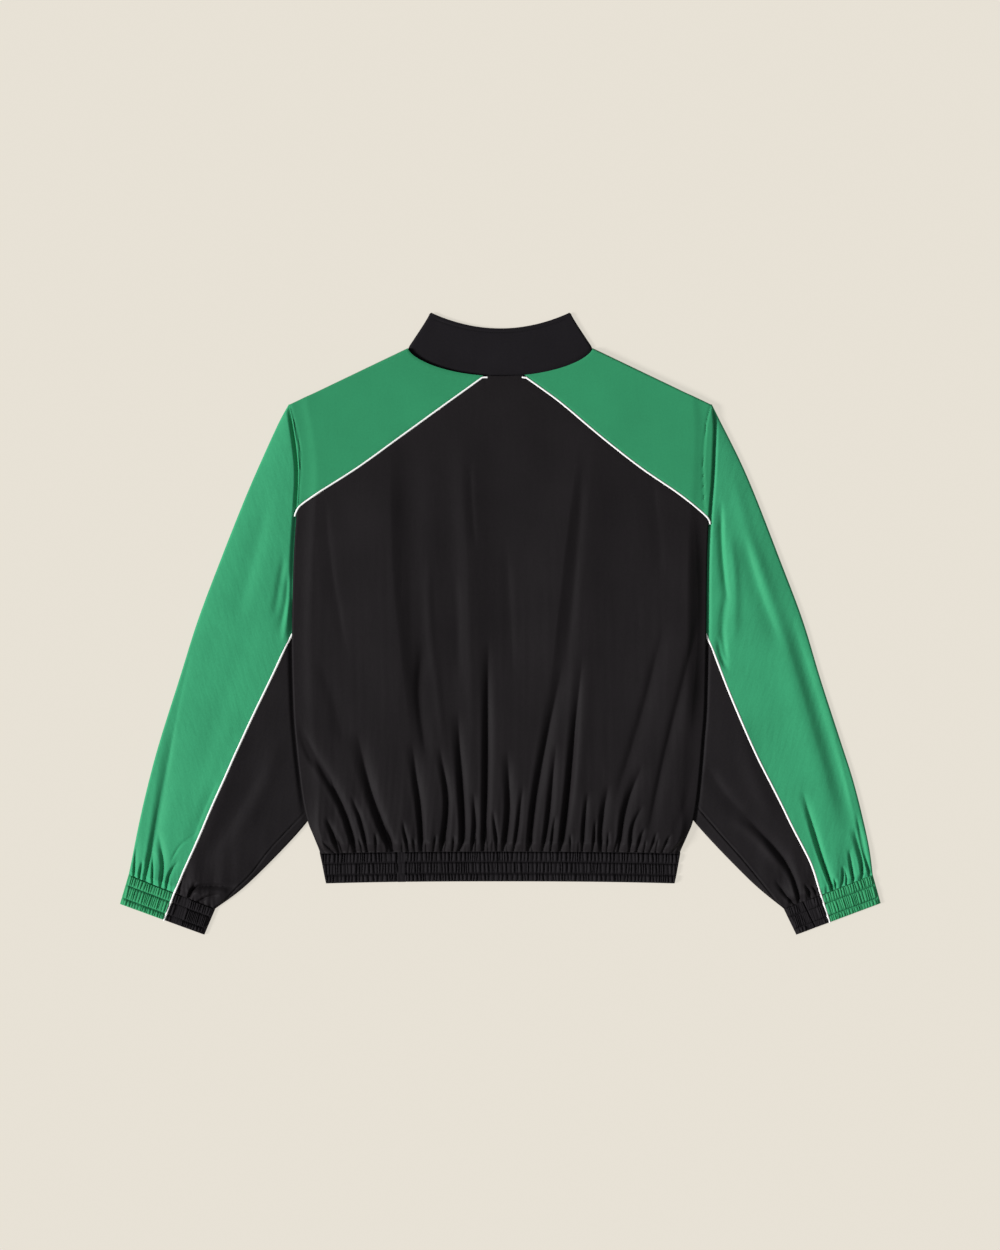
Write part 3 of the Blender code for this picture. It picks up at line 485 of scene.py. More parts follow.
def fold_sum(x, y, table, rooted):
    """Sum of a table's folds. Rooted ones start at full depth at a seam, and others fade at both ends."""
    total = np.zeros(np.shape(x))
    for x0, y0, x1, y1, x2, y2, height, start_width, end_width, lean in table:
        route = fine([(x0, y0), (x1, y1), (x2, y2)], 25)
        run = math.hypot(x2 - x0, y2 - y0)
        ux, uy = (x2 - x0) / run, (y2 - y0) / run
        route_along = ((route[:, 0] - x0) * ux + (route[:, 1] - y0) * uy) / run
        route_across = (route[:, 0] - x0) * uy - (route[:, 1] - y0) * ux
        along = ((x - x0) * ux + (y - y0) * uy) / run
        across = (x - x0) * uy - (y - y0) * ux - np.interp(along, route_along, route_across)
        rightward = across * (1 if uy > 0 else -1)
        width = start_width + (end_width - start_width) * np.clip(along, 0, 1)
        width = width * np.where(rightward > 0, 1 - lean, 1 + lean)
        share = rightward / width
        if rooted:
            ends = 1 - np.clip(along, 0, 1) ** 2.2
            lip = GATHER_LIP * bell((share + 2.0) / 0.9)
            total += height * (np.exp(-np.abs(share) ** 1.3) - lip) * ends
        else:
            ends = smooth((along + 0.12) / 0.35) * smooth((1.12 - along) / 0.35)
            total += height * np.exp(-np.abs(share) ** (2 - 0.8 * abs(lean))) * ends
    return total


def soft_floor(z, low, blend=0.3):
    """z, but never under low, with a soft turn between the two."""
    return low + blend * np.logaddexp(0.0, (z - low) / blend)


def fallen(x, half_width, drop, bend):
    """How far a curve has dropped at x: nothing at its ends and `drop` in the middle."""
    return drop * np.clip(1 - (x / half_width) ** 2, 0, 1) ** bend


def neck_base(x, drop):
    """The neck's seam: level at the shoulders and dropped by `drop` in the middle."""
    return NECK_Y - fallen(x, NECK_HALF, drop, NECK_BEND)


def neck_edge(x, drop):
    """The top edge of the panels' cloth at the neck."""
    return neck_base(x, drop) + 0.6 * SEAM_REACH


def seam_curve(side):
    """Points along the piped seam of a yoke."""
    return fine(YOKE_SEAMS[side], 160)


def seam_y(side, x, shift=0.0):
    """Height at x of the piped yoke seam, or of a line beside it, `shift` towards the yoke."""
    curve = seam_curve(side)
    sign = SIGN[side]
    run = np.gradient(curve, axis=0)
    normal = np.stack([sign * run[:, 1], -sign * run[:, 0]], axis=1)
    curve = curve + shift * unit(normal)
    return np.interp(-sign * x, -sign * curve[:, 0], curve[:, 1])


def seam_end(side, drop, shift=0.0):
    """x where the seam, or a line beside it, meets the neck's seam."""
    sign = SIGN[side]
    x = sign * np.linspace(NECK_HALF, 0, 900)
    past = seam_y(side, x, shift) > neck_edge(x, drop)
    return float(x[past.argmax()])


# ------------ elastic
def ribs(distance, band_share, pitch, seed):
    """Heights from 0 to 1 of uneven ribs across a band of elastic."""
    rng = np.random.default_rng(seed)
    count = 400
    edges = np.cumsum(pitch * rng.uniform(0.5, 1.6, count)) - 150 * pitch
    slant, tall = rng.uniform(-1.3, 1.3, count), rng.uniform(0.35, 1.0, count)
    moved = distance + (band_share - 0.5) * np.interp(distance, edges, slant)
    place = np.interp(moved, edges, np.arange(count))
    height = np.interp(place - 0.5, np.arange(count), tall)
    return height * np.abs(np.sin(math.pi * place)) ** 0.8


def elastic(distance, share, lines, length, pitch, seed):
    """Relief of a stitched elastic band: ribs between its stitch lines, and grooves at them."""
    relief = np.zeros(np.broadcast(distance, share).shape)
    for k, (low, high) in enumerate(zip(lines, lines[1:])):
        inside = (share >= low) & (share <= high)
        band = np.clip((share - low) / (high - low), 0, 1)
        bow = 0.7 + 0.3 * np.sin(math.pi * band)
        relief = np.where(inside, bow * (0.3 + ribs(distance, band, pitch, seed + k)), relief)
    for line in lines[1:-1]:
        relief = relief - bell((share - line) * length / STITCH_GROOVE) * (0.5 + 0.7 * relief)
    for line in (lines[0], lines[-1]):
        relief = relief * (1 - 0.8 * bell((share - line) * length / BAND_END))
    return relief - SEAM_GROOVE * bell((share - lines[0]) * length / BAND_END - 1)


# ------------ the back's face
def hem_rows():
    """The hem's gathers in the form of the fold tables, the deeper ones widened, to 0.1 mm."""
    rows = []
    for hem_x, mid_x, mid_y, head_x, head_y, depth, *tabled in HEM_GATHERS:
        wider = next((times for least, times in GATHER_WIDER if depth >= least), 1)
        widths = (round(wider * width, 1) for width in tabled)
        rows.append((hem_x, HEM_Y, mid_x, mid_y, head_x, head_y, -depth, *widths, GATHER_LEAN))
    return rows


def puckers(place, up, seed):
    """Small puckers right above a gathered seam, which fade within a few of them."""
    return PUCKER * (1 - ribs(place, 0.5, PUCKER_PITCH, seed)) * fade(up, 7)


def back_surface(x, y):
    """Outer side of the back, before its edges roll down."""
    left_end, right_end = BODY_OUTLINE[0][1:]
    up = y - HEM_Y + sag(np.clip((x - left_end) / (right_end - left_end), 0, 1))
    inside = from_edge(x, y)
    broad = smooth(inside / (8 + 18 * smooth(up / 90)))
    near_hem = fade(up - 13, 50)
    under = lift(x, y, BACK_RAMP) + WALL + LAYER
    level = soft_floor(under, BACK_PUFF * broad + WALL, 1.0)
    blouse = BLOUSE * smooth(up / 12) * near_hem * (1 + 0.12 * noise(x, 0.15 * y, 26, 3))
    wrinkles = 0.25 * near_hem * smooth(up / 5) * noise(x, 0.12 * y, 9, 5)
    streaks = 0.05 * noise(x, 0.06 * y, 9, 6) * smooth((150 - y) / 120) + 0.15 * noise(x, 0.5 * y, 60, 7)
    streaks += 0.05 * noise(0.25 * x, y, 14, 8) * smooth((y - 120) / 80)
    body = smooth((y + 300) / 20) * smooth((330 - y) / 60)
    soft = fold_sum(x, y, BACK_FOLDS, False)
    gathers = GATHER_DEPTH * fold_sum(x, y, hem_rows(), True)
    gathers -= puckers(x - HEM_SPLAY * up * x, up, 12)
    z = level + WALL + 0.6 + broad * (blouse + wrinkles + body * streaks + soft)
    z += smooth(inside / 3) * (0.5 + 0.5 * smooth(up / 16)) * gathers
    return soft_floor(z, lift(x, y) + WALL + LAYER + CLOTH + 0.1)


def rolled(z, target, distance):
    """z with its edge rolled down to target, and how far along the turn each point is (1 at the edge)."""
    turn = 1 - np.clip(distance / EDGE_ROLL, 0, 1)
    return z - (z - target) * (1 - np.sqrt(1 - turn**2)), turn


def edge_target(x, y):
    """The level that the back's edge rolls down to: near the surface, or near the sleeve under it."""
    return np.maximum(LOW_EDGE, lift(x, y) - 0.6)


# ------------ materials
def new_material(name):
    """A material with its node tree and its shader."""
    material = bpy.data.materials.new(name)
    material.use_nodes = True
    return material, material.node_tree, material.node_tree.nodes["Principled BSDF"]


def feed(tree, target, inputs):
    """Sets a node's inputs, each to a fixed value or to another node's output."""
    for socket, value in inputs.items():
        if isinstance(value, bpy.types.NodeSocket):
            tree.links.new(value, target.inputs[socket])
        else:
            target.inputs[socket].default_value = value
    return target


def node(tree, kind, inputs, **settings):
    """A new shader node's first output."""
    made = tree.nodes.new("ShaderNode" + kind)
    for name, value in settings.items():
        setattr(made, name, value)
    return feed(tree, made, inputs).outputs[0]


def specks(tree, vector, kind):
    """A noise of one of the kinds FIBRE, MOTTLE and CRINKLE."""
    return node(tree, "TexNoise", {"Vector": vector, "Scale": kind[0], "Detail": kind[1]})


def shades(tree, factor, colour, variation, low=0.3, high=0.7):
    """A colour that varies by a share of itself, up and down, as the factor goes from low to high."""
    ramp = tree.nodes.new("ShaderNodeValToRGB")
    tree.links.new(factor, ramp.inputs["Fac"])
    for element, place, change in zip(ramp.color_ramp.elements, (low, high), (-variation, variation)):
        element.position = place
        element.color = (*(c * (1 + change) for c in colour), 1.0)
    return ramp.outputs["Color"]


def bumped(tree, height, distance, inputs=()):
    """The normal of a bump of `distance` in mm."""
    return node(tree, "Bump", {"Height": height, "Distance": distance * MM, "Strength": 1.0, **dict(inputs)})


def cloth_material(name):
    """A woven cloth: yarns both ways, a fine crinkle, uneven colour and roughness, and some sheen."""
    if name in bpy.data.materials:
        return bpy.data.materials[name]
    colour, variation, roughness, pitch, depth, crinkle, sheen, angle = CLOTHS[name]
    material, tree, shader = new_material(name)
    object_space = tree.nodes.new("ShaderNodeTexCoord").outputs["Object"]
    vector = node(tree, "Mapping", {"Vector": object_space, "Rotation": (0, 0, math.radians(angle))})
    drawn = node(tree, "Mapping", {"Vector": vector, "Scale": (1.0, 0.22, 1.0)})

    yarn = {"Vector": vector, "Scale": 2 * math.pi / (20 * pitch * MM), "Distortion": 0.6, "Detail": 1.0,
            "Detail Scale": 0.3}
    yarns = [tree.nodes.new("ShaderNodeTexWave") for _ in "XY"]
    for wave, direction in zip(yarns, "XY"):
        wave.bands_direction = direction
        feed(tree, wave, yarn)
    weave = node(tree, "Math", {k: wave.outputs["Fac"] for k, wave in enumerate(yarns)}, operation="MAXIMUM")

    fibre = node(tree, "Math", {0: specks(tree, vector, FIBRE), 1: 0.4}, operation="MULTIPLY")
    mottle = node(tree, "Math", {0: specks(tree, vector, MOTTLE), 1: 0.6, 2: fibre}, operation="MULTIPLY_ADD")
    crinkles = specks(tree, drawn, CRINKLE)
    rough = {"Value": crinkles, "To Min": roughness - 0.06, "To Max": roughness + 0.06}
    normal = bumped(tree, weave, depth)
    if crinkle > 0:
        normal = bumped(tree, crinkles, crinkle * 4, {"Normal": normal})
    feed(tree, shader, {
        "Base Color": shades(tree, mottle, colour, variation),
        "Roughness": node(tree, "MapRange", rough),
        "Normal": normal,
        "Specular IOR Level": 0.06,
        "Sheen Weight": sheen,
        "Sheen Roughness": 0.4,
    })
    material.diffuse_color = (*colour, 1.0)
    return material


# ------------ building meshes
def points(x, y, z):
    """One array of points from three arrays, or numbers, of coordinates."""
    x, y, z = np.broadcast_arrays(x, y, z)
    return np.stack([x, y, z], axis=-1).astype(float)


def placed(name, data):
    """A new object in the scene."""
    obj = bpy.data.objects.new(name, data)
    bpy.context.scene.collection.objects.link(obj)
    return obj


def finished(name, verts, faces, cloth, smooth_angle=50):
    """A smooth mesh object in metres from points in mm, with its material."""
    data = bpy.data.meshes.new(name)
    data.from_pydata(np.asarray(verts) * MM, [], faces)
    data.update()
    data.shade_smooth()
    data.set_sharp_from_angle(angle=math.radians(smooth_angle))
    data.materials.append(cloth_material(cloth))
    return placed(name, data)


def shell(name, outer, inner, cloth, few=None, flip=False, ring=False):
    """A closed sheet from an outer side and `few` rows of an inner side, joined by a rim.

    flip turns its faces over, and ring joins its last column to its first.
    """
    rows, count = outer.shape[:2]
    picked = np.linspace(0, rows - 1, few or rows).round().astype(int)
    verts = np.concatenate([outer.reshape(-1, 3), inner[picked].reshape(-1, 3)])
    number = np.arange(len(verts)).reshape(-1, count)
    a = number if ring else number[:, :-1]
    b = np.roll(number, -1, axis=1) if ring else number[:, 1:]
    skin = np.stack([a[:-1], b[:-1], b[1:], a[1:]], axis=-1)
    faces = []

    def add(quads, turned):
        faces.extend((quads[..., ::-1] if turned else quads).reshape(-1, 4).tolist())

    add(skin[:rows - 1], flip)
    add(skin[rows:], not flip)
    add(np.stack([b[0], a[0], a[rows], b[rows]], axis=-1), flip)
    add(np.stack([a[rows - 1], b[rows - 1], b[-1], a[-1]], axis=-1), flip)
    for k in range(0 if ring else len(picked) - 1):
        for column, turned in ((0, not flip), (-1, flip)):
            edge = number[:, column]
            face = [*edge[picked[k]:picked[k + 1] + 1], edge[rows + k + 1], edge[rows + k]]
            faces.append(face[::-1] if turned else face)
    return finished(name, verts, faces, cloth)


def lowest_near(z, reach):
    """Each point's lowest height within `reach` rows, so that coarser rows under it stay under it."""
    low = z.copy()
    for step in range(1, reach + 1):
        low[step:] = np.minimum(low[step:], z[:-step])
        low[:-step] = np.minimum(low[:-step], z[step:])
    return low


def beside(heading):
    """Directions to the side of a heading and up from it."""
    side = unit(np.cross(heading, (0, 0, 1)))
    return side, np.cross(side, heading)


def add_thread(verts, faces, rings, sides, pressed=1.0):
    """Adds a closed thread round rings, each with a centre, directions to the side and up, and a radius."""
    start = len(verts)
    angles = np.linspace(0, 2 * math.pi, sides, endpoint=False)
    for centre, side, up, radius in rings:
        verts += [centre + radius * (math.cos(t) * side + pressed * math.sin(t) * up) for t in angles]
    number = start + np.arange(len(rings) * sides).reshape(-1, sides)
    ahead = np.roll(number, -1, axis=1)
    quads = np.stack([number[:-1], ahead[:-1], ahead[1:], number[1:]], axis=-1)
    faces += [*quads.reshape(-1, 4).tolist(), number[0, ::-1].tolist(), number[-1].tolist()]


DOME = [(0.15, 0.92), (0.45, 0.72), (0.85, 0.35)]  # a cord's end: places past it and widths, in radii


def cord(node, path, radius):
    """The piping that stands for a solid: a cord pressed a little flat along a path, with domed ends."""
    heading = unit(np.gradient(path, axis=0))
    side, up = beside(heading)
    domes = [[(path[end] + way * heading[end] * radius * past, side[end], up[end], radius * share)
              for past, share in DOME] for end, way in ((0, -1), (-1, 1))]
    rings = [*domes[0][::-1], *zip(path, side, up, [radius] * len(path)), *domes[1]]
    verts, faces = [], []
    add_thread(verts, faces, rings, 14, CORD_PRESSED)
    belongs(finished(node + "_cord", verts, faces, "white_piping", 80), "piping_white", node)


def evenly(path, spacing):
    """Points at even distances along a path, and the directions there."""
    gone = gone_along(path)
    count = max(2, int(gone[-1] / spacing))
    places = (np.arange(count) + 0.5) * gone[-1] / count

    def spots(at):
        return np.stack([np.interp(at, gone, path[:, k]) for k in range(3)], axis=1)

    return spots(places), unit(spots(places + 0.5) - spots(places - 0.5))


# One stitch: places along it in half lengths, widths in shares of its thickness, heights in mm.
STITCH_RINGS = [(-1, 0.35, -0.12), (-0.7, 0.9, 0), (0, 1, 0.12), (0.7, 0.9, 0), (1, 0.35, -0.12)]


def stitches(name, paths, cloth, pitch=2.9, length=2.1, thick=0.42):
    """Rows of single stitches along paths, as one mesh of small closed threads."""
    verts, faces = [], []
    for path in paths:
        for spot, heading in zip(*evenly(path, pitch)):
            side, up = beside(heading)
            rings = [(spot + heading * along * length / 2 + up * height, side, up, thick / 2 * share)
                     for along, share, height in STITCH_RINGS]
            add_thread(verts, faces, rings, 6)
    return finished(name, verts, faces, cloth, 80)


def belongs(piece, slot, *solids):
    """Makes a piece part of the object: hangs it on its body and hides the solids that it stands for. slot,
    for its finish, is not used.
    """
    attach(piece, "root")
    if solids:
        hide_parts(*solids)
    return piece


def cloth_piece(solid, slot, pattern, rests_on, outer, inner, finish, threads=(), **how):
    """A shell that stands for a solid and the threads on it. `pattern` is not used."""
    piece = belongs(shell(solid + "_cloth", outer, inner, finish, **how), slot, solid)
    sewn = [belongs(stitches(*thread), slot) for thread in threads]


# ------------ body panels
EDGE_STEPS = np.sort(1 - np.sin(np.linspace(0, math.pi / 2, 7))) * EDGE_ROLL  # mm, close at the edge


def edge_shares(width, count):
    """Shares of a width in mm: close together where the edges roll, and even between."""
    margin = EDGE_STEPS / width
    middle = np.linspace(margin[-1], 1 - margin[-1], count)[1:-1]
    return np.concatenate([margin, middle, (1 - margin)[::-1]])


def sag(share):
    """How far the hem and the waistband lie lower at a share of their width."""
    return CORNER_SAG * np.abs(2 * share - 1) ** 2.5


def body_plan(rows, columns, growth, drop, inset):
    """Plan of a body panel: columns run from the hem to the panel's top edge, at fixed shares of its width.

    growth says how much further apart the rows are at the top than at the hem.
    """
    left_end, right_end = BODY_OUTLINE[0][1:]
    share = edge_shares(right_end - left_end, columns)[None, :]
    t = np.linspace(0, 1, rows)[:, None]
    rise = (1 - growth) * t + growth * t**2
    start = HEM_Y - SEAM_REACH - sag(share)
    y = np.repeat(start, rows, axis=0)
    for _ in range(6):
        left, right = side_x("left", y) + inset, side_x("right", y) - inset
        x = left + share * (right - left)
        top = neck_edge(x[-1], drop)
        for side in SIGN:
            top = np.minimum(top, seam_y(side, x[-1], -BESIDE_CORD))
        y = start + rise * (top - start)
    return x, y


def seam_dip(x, y):
    """How far the cloth draws in beside the piped seams and the neck's seam."""
    dip = np.zeros(np.shape(x))
    for side in SIGN:
        dip += 0.5 * bell(((from_line(x, y, seam_curve(side)) - CORD_R) / 1.6).clip(0))
    return dip + 0.6 * bell((neck_base(x, NECK_DROP["back"]) - y) / 1.8)


def back_body():
    """The back panel, with rows closer together towards the hem."""
    x, y = body_plan(*BACK_GRID, 0.67, NECK_DROP["back"], 0.0)
    z = back_surface(x, y) - seam_dip(x, y)
    z -= 0.8 * bell((y - HEM_Y) / 1.5)
    target = edge_target(x, y)
    outer_z, turn = rolled(z, target, from_edge(x, y))
    inner_z, _ = rolled(lowest_near(z, 12) - CLOTH, target, from_edge(x, y))
    inner_x = x + np.where(x < 0, 1, -1) * CLOTH * turn
    cloth_piece("back_body", "black_cloth", "back_body", "front_body_cloth",
                points(x, y, outer_z), points(inner_x, y, inner_z), "black_body", few=14)


FRONT_PLEATS = 46


def front_dents(x, y):
    """Shallow hem gathers of the front, pressed flat on the surface it lies on."""
    rng = np.random.default_rng(11)
    left, right = BODY_OUTLINE[0][1:]
    rows = []
    for place in np.linspace(left + 6, right - 6, FRONT_PLEATS):
        hem_x = place + rng.uniform(-3, 3)
        run = rng.choice([rng.uniform(12, 30), rng.uniform(50, 160)])
        splay = 0.12 * hem_x * run / 160
        rows.append((hem_x, HEM_Y, hem_x + splay * 0.4, HEM_Y + run * 0.5, hem_x + splay, HEM_Y + run,
                     rng.uniform(0.5, 1.0), 1.6 + run * 0.008, 3 + run * 0.02, 0.0))
    return np.clip(fold_sum(x, y, rows, True), 0, 1.1)


def front_body():
    """The front panel, which lies on the surface."""
    x, y = body_plan(*FRONT_GRID, 0.6, NECK_DROP["front"], FRONT_INSET)
    level = lift(x, y)
    under = level + front_dents(x, y) * (1 - smooth(level))
    inner = points(x, y, level + CLOTH - lowest_near(level - under, 3))
    cloth_piece("front_body", "black_cloth", "front_body", "floor", points(x, y, under), inner, "black_body",
                few=40, flip=True)


def coons(bottom, top, left, right, across, up):
    """One coordinate of a patch between four edges: bottom and top along `across`, the others along `up`."""
    s, t = across[None, :], up[:, None]
    edges = (1 - t) * bottom + t * top + (1 - s) * left[:, None] + s * right[:, None]
    corners = ((1 - s) * (1 - t) * bottom[0] + s * (1 - t) * bottom[-1]
               + (1 - s) * t * top[0] + s * t * top[-1])
    return edges - corners


YOKE_HEIGHT = 110  # about, from the seam to the shoulder


def yoke_plan(side, face, inset):
    """Plan of a yoke: columns from the armhole to the neck, rows from the seam to the shoulder."""
    sign, drop = SIGN[side], NECK_DROP[face]
    reach = seam_end(side, drop, BESIDE_CORD)
    start = side_x(side, YOKE_SEAMS[side][0][1]) - sign * inset
    margin = EDGE_STEPS / abs(reach - start)
    rows, columns = YOKE_GRID
    across = np.concatenate([margin, np.linspace(margin[-1], 1, columns)[1:]])
    margin = EDGE_STEPS / YOKE_HEIGHT
    up = np.concatenate([np.linspace(0, 1 - margin[-1], rows)[:-1], 1 - margin[::-1]])
    bottom_x = start + across * (reach - start)
    bottom_y = seam_y(side, bottom_x, BESIDE_CORD)
    edge_y = bottom_y[0] + up * (BODY_OUTLINE[-1][0] - inset * 0.5 - bottom_y[0])
    edge_x = side_x(side, edge_y) - sign * inset
    bottom_x[0] = edge_x[0]
    neck_x = reach + (1 - (1 - up) ** 1.6) * (sign * NECK_HALF - reach)
    neck_y = neck_edge(neck_x, drop)
    neck_y[0] = bottom_y[-1]
    neck_y[-1] -= inset
    top_x = edge_x[-1] + across * (neck_x[-1] - edge_x[-1])
    top_y = edge_y[-1] + across * (neck_y[-1] - edge_y[-1])
    return (coons(bottom_x, top_x, edge_x, neck_x, across, up),
            coons(bottom_y, top_y, edge_y, neck_y, across, up))


def armhole_strip(side, x, y):
    """The raised strip of the seam allowance beside the armhole, with its stitch line."""
    line = fine(ARMHOLE_STITCHES[side], 40)
    line_x = np.interp(y, line[::-1, 1], line[::-1, 0])
    outside = (x - line_x) * SIGN[side]
    strip = 0.9 * smooth((outside - 0.2) / 1.4)
    return strip - 0.8 * bell(from_line(x, y, line) / 1.1)


def yoke(side, face):
    """A shoulder panel. The back one rolls down along the armhole and the shoulder."""
    sign = SIGN[side]
    if face == "front":
        x, y = yoke_plan(side, face, FRONT_INSET)
        under = lift(x, y) + 0.05 * np.abs(noise(x, y, 40, 21))
        cloth_piece(f"front_yoke_{side}", "green_cloth", "front_yoke", "floor", points(x, y, under),
                    points(x, y, under + CLOTH), "green_yoke_painted_shade", few=26, flip=sign < 0)
        return
    x, y = yoke_plan(side, face, 0.0)
    z = back_surface(x, y) - seam_dip(x, y) + armhole_strip(side, x, y)
    to_side = np.abs(x - side_x(side, y))
    tip_y = BODY_OUTLINE[-1][0]
    tip_x = side_x(side, tip_y)
    ny, nx = unit(np.array([abs(sign * NECK_HALF - tip_x), NECK_Y - tip_y]))
    to_shoulder = from_line(x, y, [(tip_x, tip_y), (sign * NECK_HALF, NECK_Y)])
    target = edge_target(x, y)
    outer_z, turn_side = rolled(z, target, to_side)
    outer_z, turn_top = rolled(outer_z, target, to_shoulder)
    inner_z, _ = rolled(lowest_near(z, 2) - CLOTH, target, to_side)
    inner_z, _ = rolled(inner_z, target, to_shoulder)
    inner_z = np.minimum(inner_z, outer_z)
    inner_x = x - sign * CLOTH * (turn_side + nx * turn_top)
    inner_y = y - ny * CLOTH * turn_top
    line = fine(ARMHOLE_STITCHES[side], 60)
    over = points(*line.T, back_surface(*line.T) + armhole_strip(side, *line.T) + 0.12)
    cloth_piece(f"back_yoke_{side}", "green_cloth", "back_yoke", f"front_yoke_{side}_cloth",
                points(x, y, outer_z), points(inner_x, inner_y, inner_z), "green_yoke_painted_shade",
                [(f"armhole_stitches_{side}", [over[2:-1]], "green_thread")], flip=sign > 0)


def yoke_piping(side, face):
    """The cord in a yoke's seam. On the back it curls down at the armhole and along the collar."""
    sign = SIGN[side]
    reach = seam_end(side, NECK_DROP[face], -CORD_R) + sign * PIPING_SHORT
    x = np.linspace(YOKE_SEAMS[side][0][0] - sign, reach, 150)
    path = np.stack([x, seam_y(side, x)], axis=1)
    if face == "back":
        tail, hook = PIPING_ENDS[side]
        knots = np.concatenate([tail, path[3::12], hook])
        path = fine(knots, 190)
        level = back_surface(*path.T) - 0.1
        inside = np.abs(side_x(side, path[:, 1])) - np.abs(path[:, 0])
        level = level - 1.6 * (1 - smooth((inside + 1.5) / 4.0))
        height = level - CORD_SUNK
    else:
        height = lift(*path.T) + FLAT_CORD_Z
    cord(f"piping_{face}_{side}", points(*path.T, height), YOKE_CORD_R if face == "back" else FLAT_CORD_R)


# ------------ sleeves and cuffs
def sleeve_sections(side, stations):
    """Sections of a sleeve: outer point, direction inwards, width, the piping's place and half its gap, and
    the distance up from the cuff's seam."""
    upper = spline(SLEEVES[side][:CUFF_STATION + 1], stations)
    lower = spline(SLEEVES[side][CUFF_STATION:], stations - CUFF_STATION)
    rows = np.where(stations[:, None] < CUFF_STATION, upper, lower)
    outer, inner = rows[:, 0:2], rows[:, 2:4]
    width = np.linalg.norm(inner - outer, axis=1)
    along = (inner - outer) / width[:, None]
    pipe = rows[:, 4] * width
    route = unit(np.gradient(outer + along * pipe[:, None], axis=0))
    slant = np.abs(along[:, 0] * route[:, 1] - along[:, 1] * route[:, 0])
    gone = gone_along((outer + inner) / 2)
    cuff_at = np.interp(CUFF_STATION, stations, gone)
    return outer, along, width, pipe, BESIDE_CORD / slant.clip(0.4), cuff_at - gone


def sleeve_top(side, x, y, share, above):
    """Outer side of a sleeve's upper layer. `above` is the distance up from the cuff's seam."""
    clear = smooth(-from_edge(x, y) / 6.0)
    round_over = np.clip(4 * share * (1 - share), 0, 1) ** 0.7
    blouse = SLEEVE_BLOUSE * smooth(above / 10) * fade(above - 10, 40)
    blouse = blouse * (1 + 0.3 * noise(x, 0.3 * y, 24, 31))
    folds = SLEEVE_FOLD_DEPTH * fold_sum(x, y, SLEEVE_FOLDS, False)
    gathers = GATHER_DEPTH * fold_sum(x, y, CUFF_GATHERS, True) * (0.5 + 0.5 * smooth(above / 6))
    wrinkles = 0.4 * fade(above, 22) * noise(x, 0.3 * y, 7, 33)
    drape = 0.10 * noise(x, 0.5 * y, 55, 34) + 0.02 * noise(x, 0.3 * y, 9, 35)
    seam = from_line(x, y, fine(UNDERARM_SEAMS[side], 40))
    seam_line = 0.6 * bell(seam / 2.6) - 1.7 * bell(seam / 1.1)
    z = SLEEVE_FLAT + clear * round_over * (SLEEVE_PUFF + folds + drape)
    z += clear * round_over**0.5 * (blouse + wrinkles) - clear * puckers(x, above, 14)
    z += smooth(round_over / 0.35) * smooth(above / 2 + 1) * gathers + clear * seam_line
    return soft_floor(z, 2 * CLOTH + 0.9)


def wrapped(side, stations, edge, tops, bottoms, face):
    """Both sides of a panel that wraps a sleeve's folded edge: columns on its top, fold and bottom."""
    outer, along, width, pipe, gap, above = sleeve_sections(side, stations)
    r = SLEEVE_EDGE_R
    inward = 1 if edge == "outer" else -1
    centre = np.full(len(width), r) if edge == "outer" else width - r
    span = pipe - inward * gap - centre
    skins = []
    for depth in (0.0, CLOTH):
        bend = r - depth
        places = [(centre + share * span, "top", -depth) for share in np.linspace(1, 0, tops)]
        for turn in FOLD_ANGLES:
            places.append((centre - inward * bend * math.cos(turn), "fold", r + bend * math.sin(turn)))
        places += [(centre + share * span, "bottom", depth) for share in np.linspace(0, 1, bottoms)]
        columns = []
        for distance, layer, height in places:
            plan = outer + along * distance[:, None]
            if layer != "fold":
                height = height + face(layer, plan, distance / width, above)
            columns.append(points(*plan.T, height))
        skins.append(np.stack(columns, axis=1))
    return skins


def sleeve(side):
    """The two panels of a sleeve: green round the outer fold and black round the inner one."""
    above, below = SLEEVE_ROWS
    stations = np.concatenate([np.linspace(0, FINE_FROM, above)[:-1],
                               np.linspace(FINE_FROM, CUFF_STATION - JOIN_GAP, below)])

    def face(layer, plan, share, up):
        x, y = plan.T
        if layer == "top":
            return sleeve_top(side, x, y, share, up)
        hidden = fold_sum(x - 9 * SIGN[side], y, CUFF_GATHERS, True)
        hollow = smooth(4 * np.clip(share * (1 - share), 0, 1))
        return hollow * np.clip(-0.4 * hidden + 0.12 * noise(x, y, 50, 37), 0, 1.0)

    panels = (("outer", "green", f"green_sleeve_{side}"), ("inner", "black", "black_sleeve"))
    for edge, colour, finish in panels:
        outside, inside = wrapped(side, stations, edge, SLEEVE_TOPS[colour], SLEEVE_BOTTOMS, face)
        top, bottom = np.s_[:, :SLEEVE_TOPS[colour], 2], np.s_[:, -SLEEVE_BOTTOMS:, 2]
        inside[top] = lowest_near(outside[top], 3) - CLOTH
        inside[bottom] = CLOTH - lowest_near(-outside[bottom], 3)
        cloth_piece(f"sleeve_{side}_{colour}", colour + "_cloth", "sleeve_" + colour, "floor",
                    outside, inside, finish, few=42, flip=(side == "left") == (edge == "outer"))


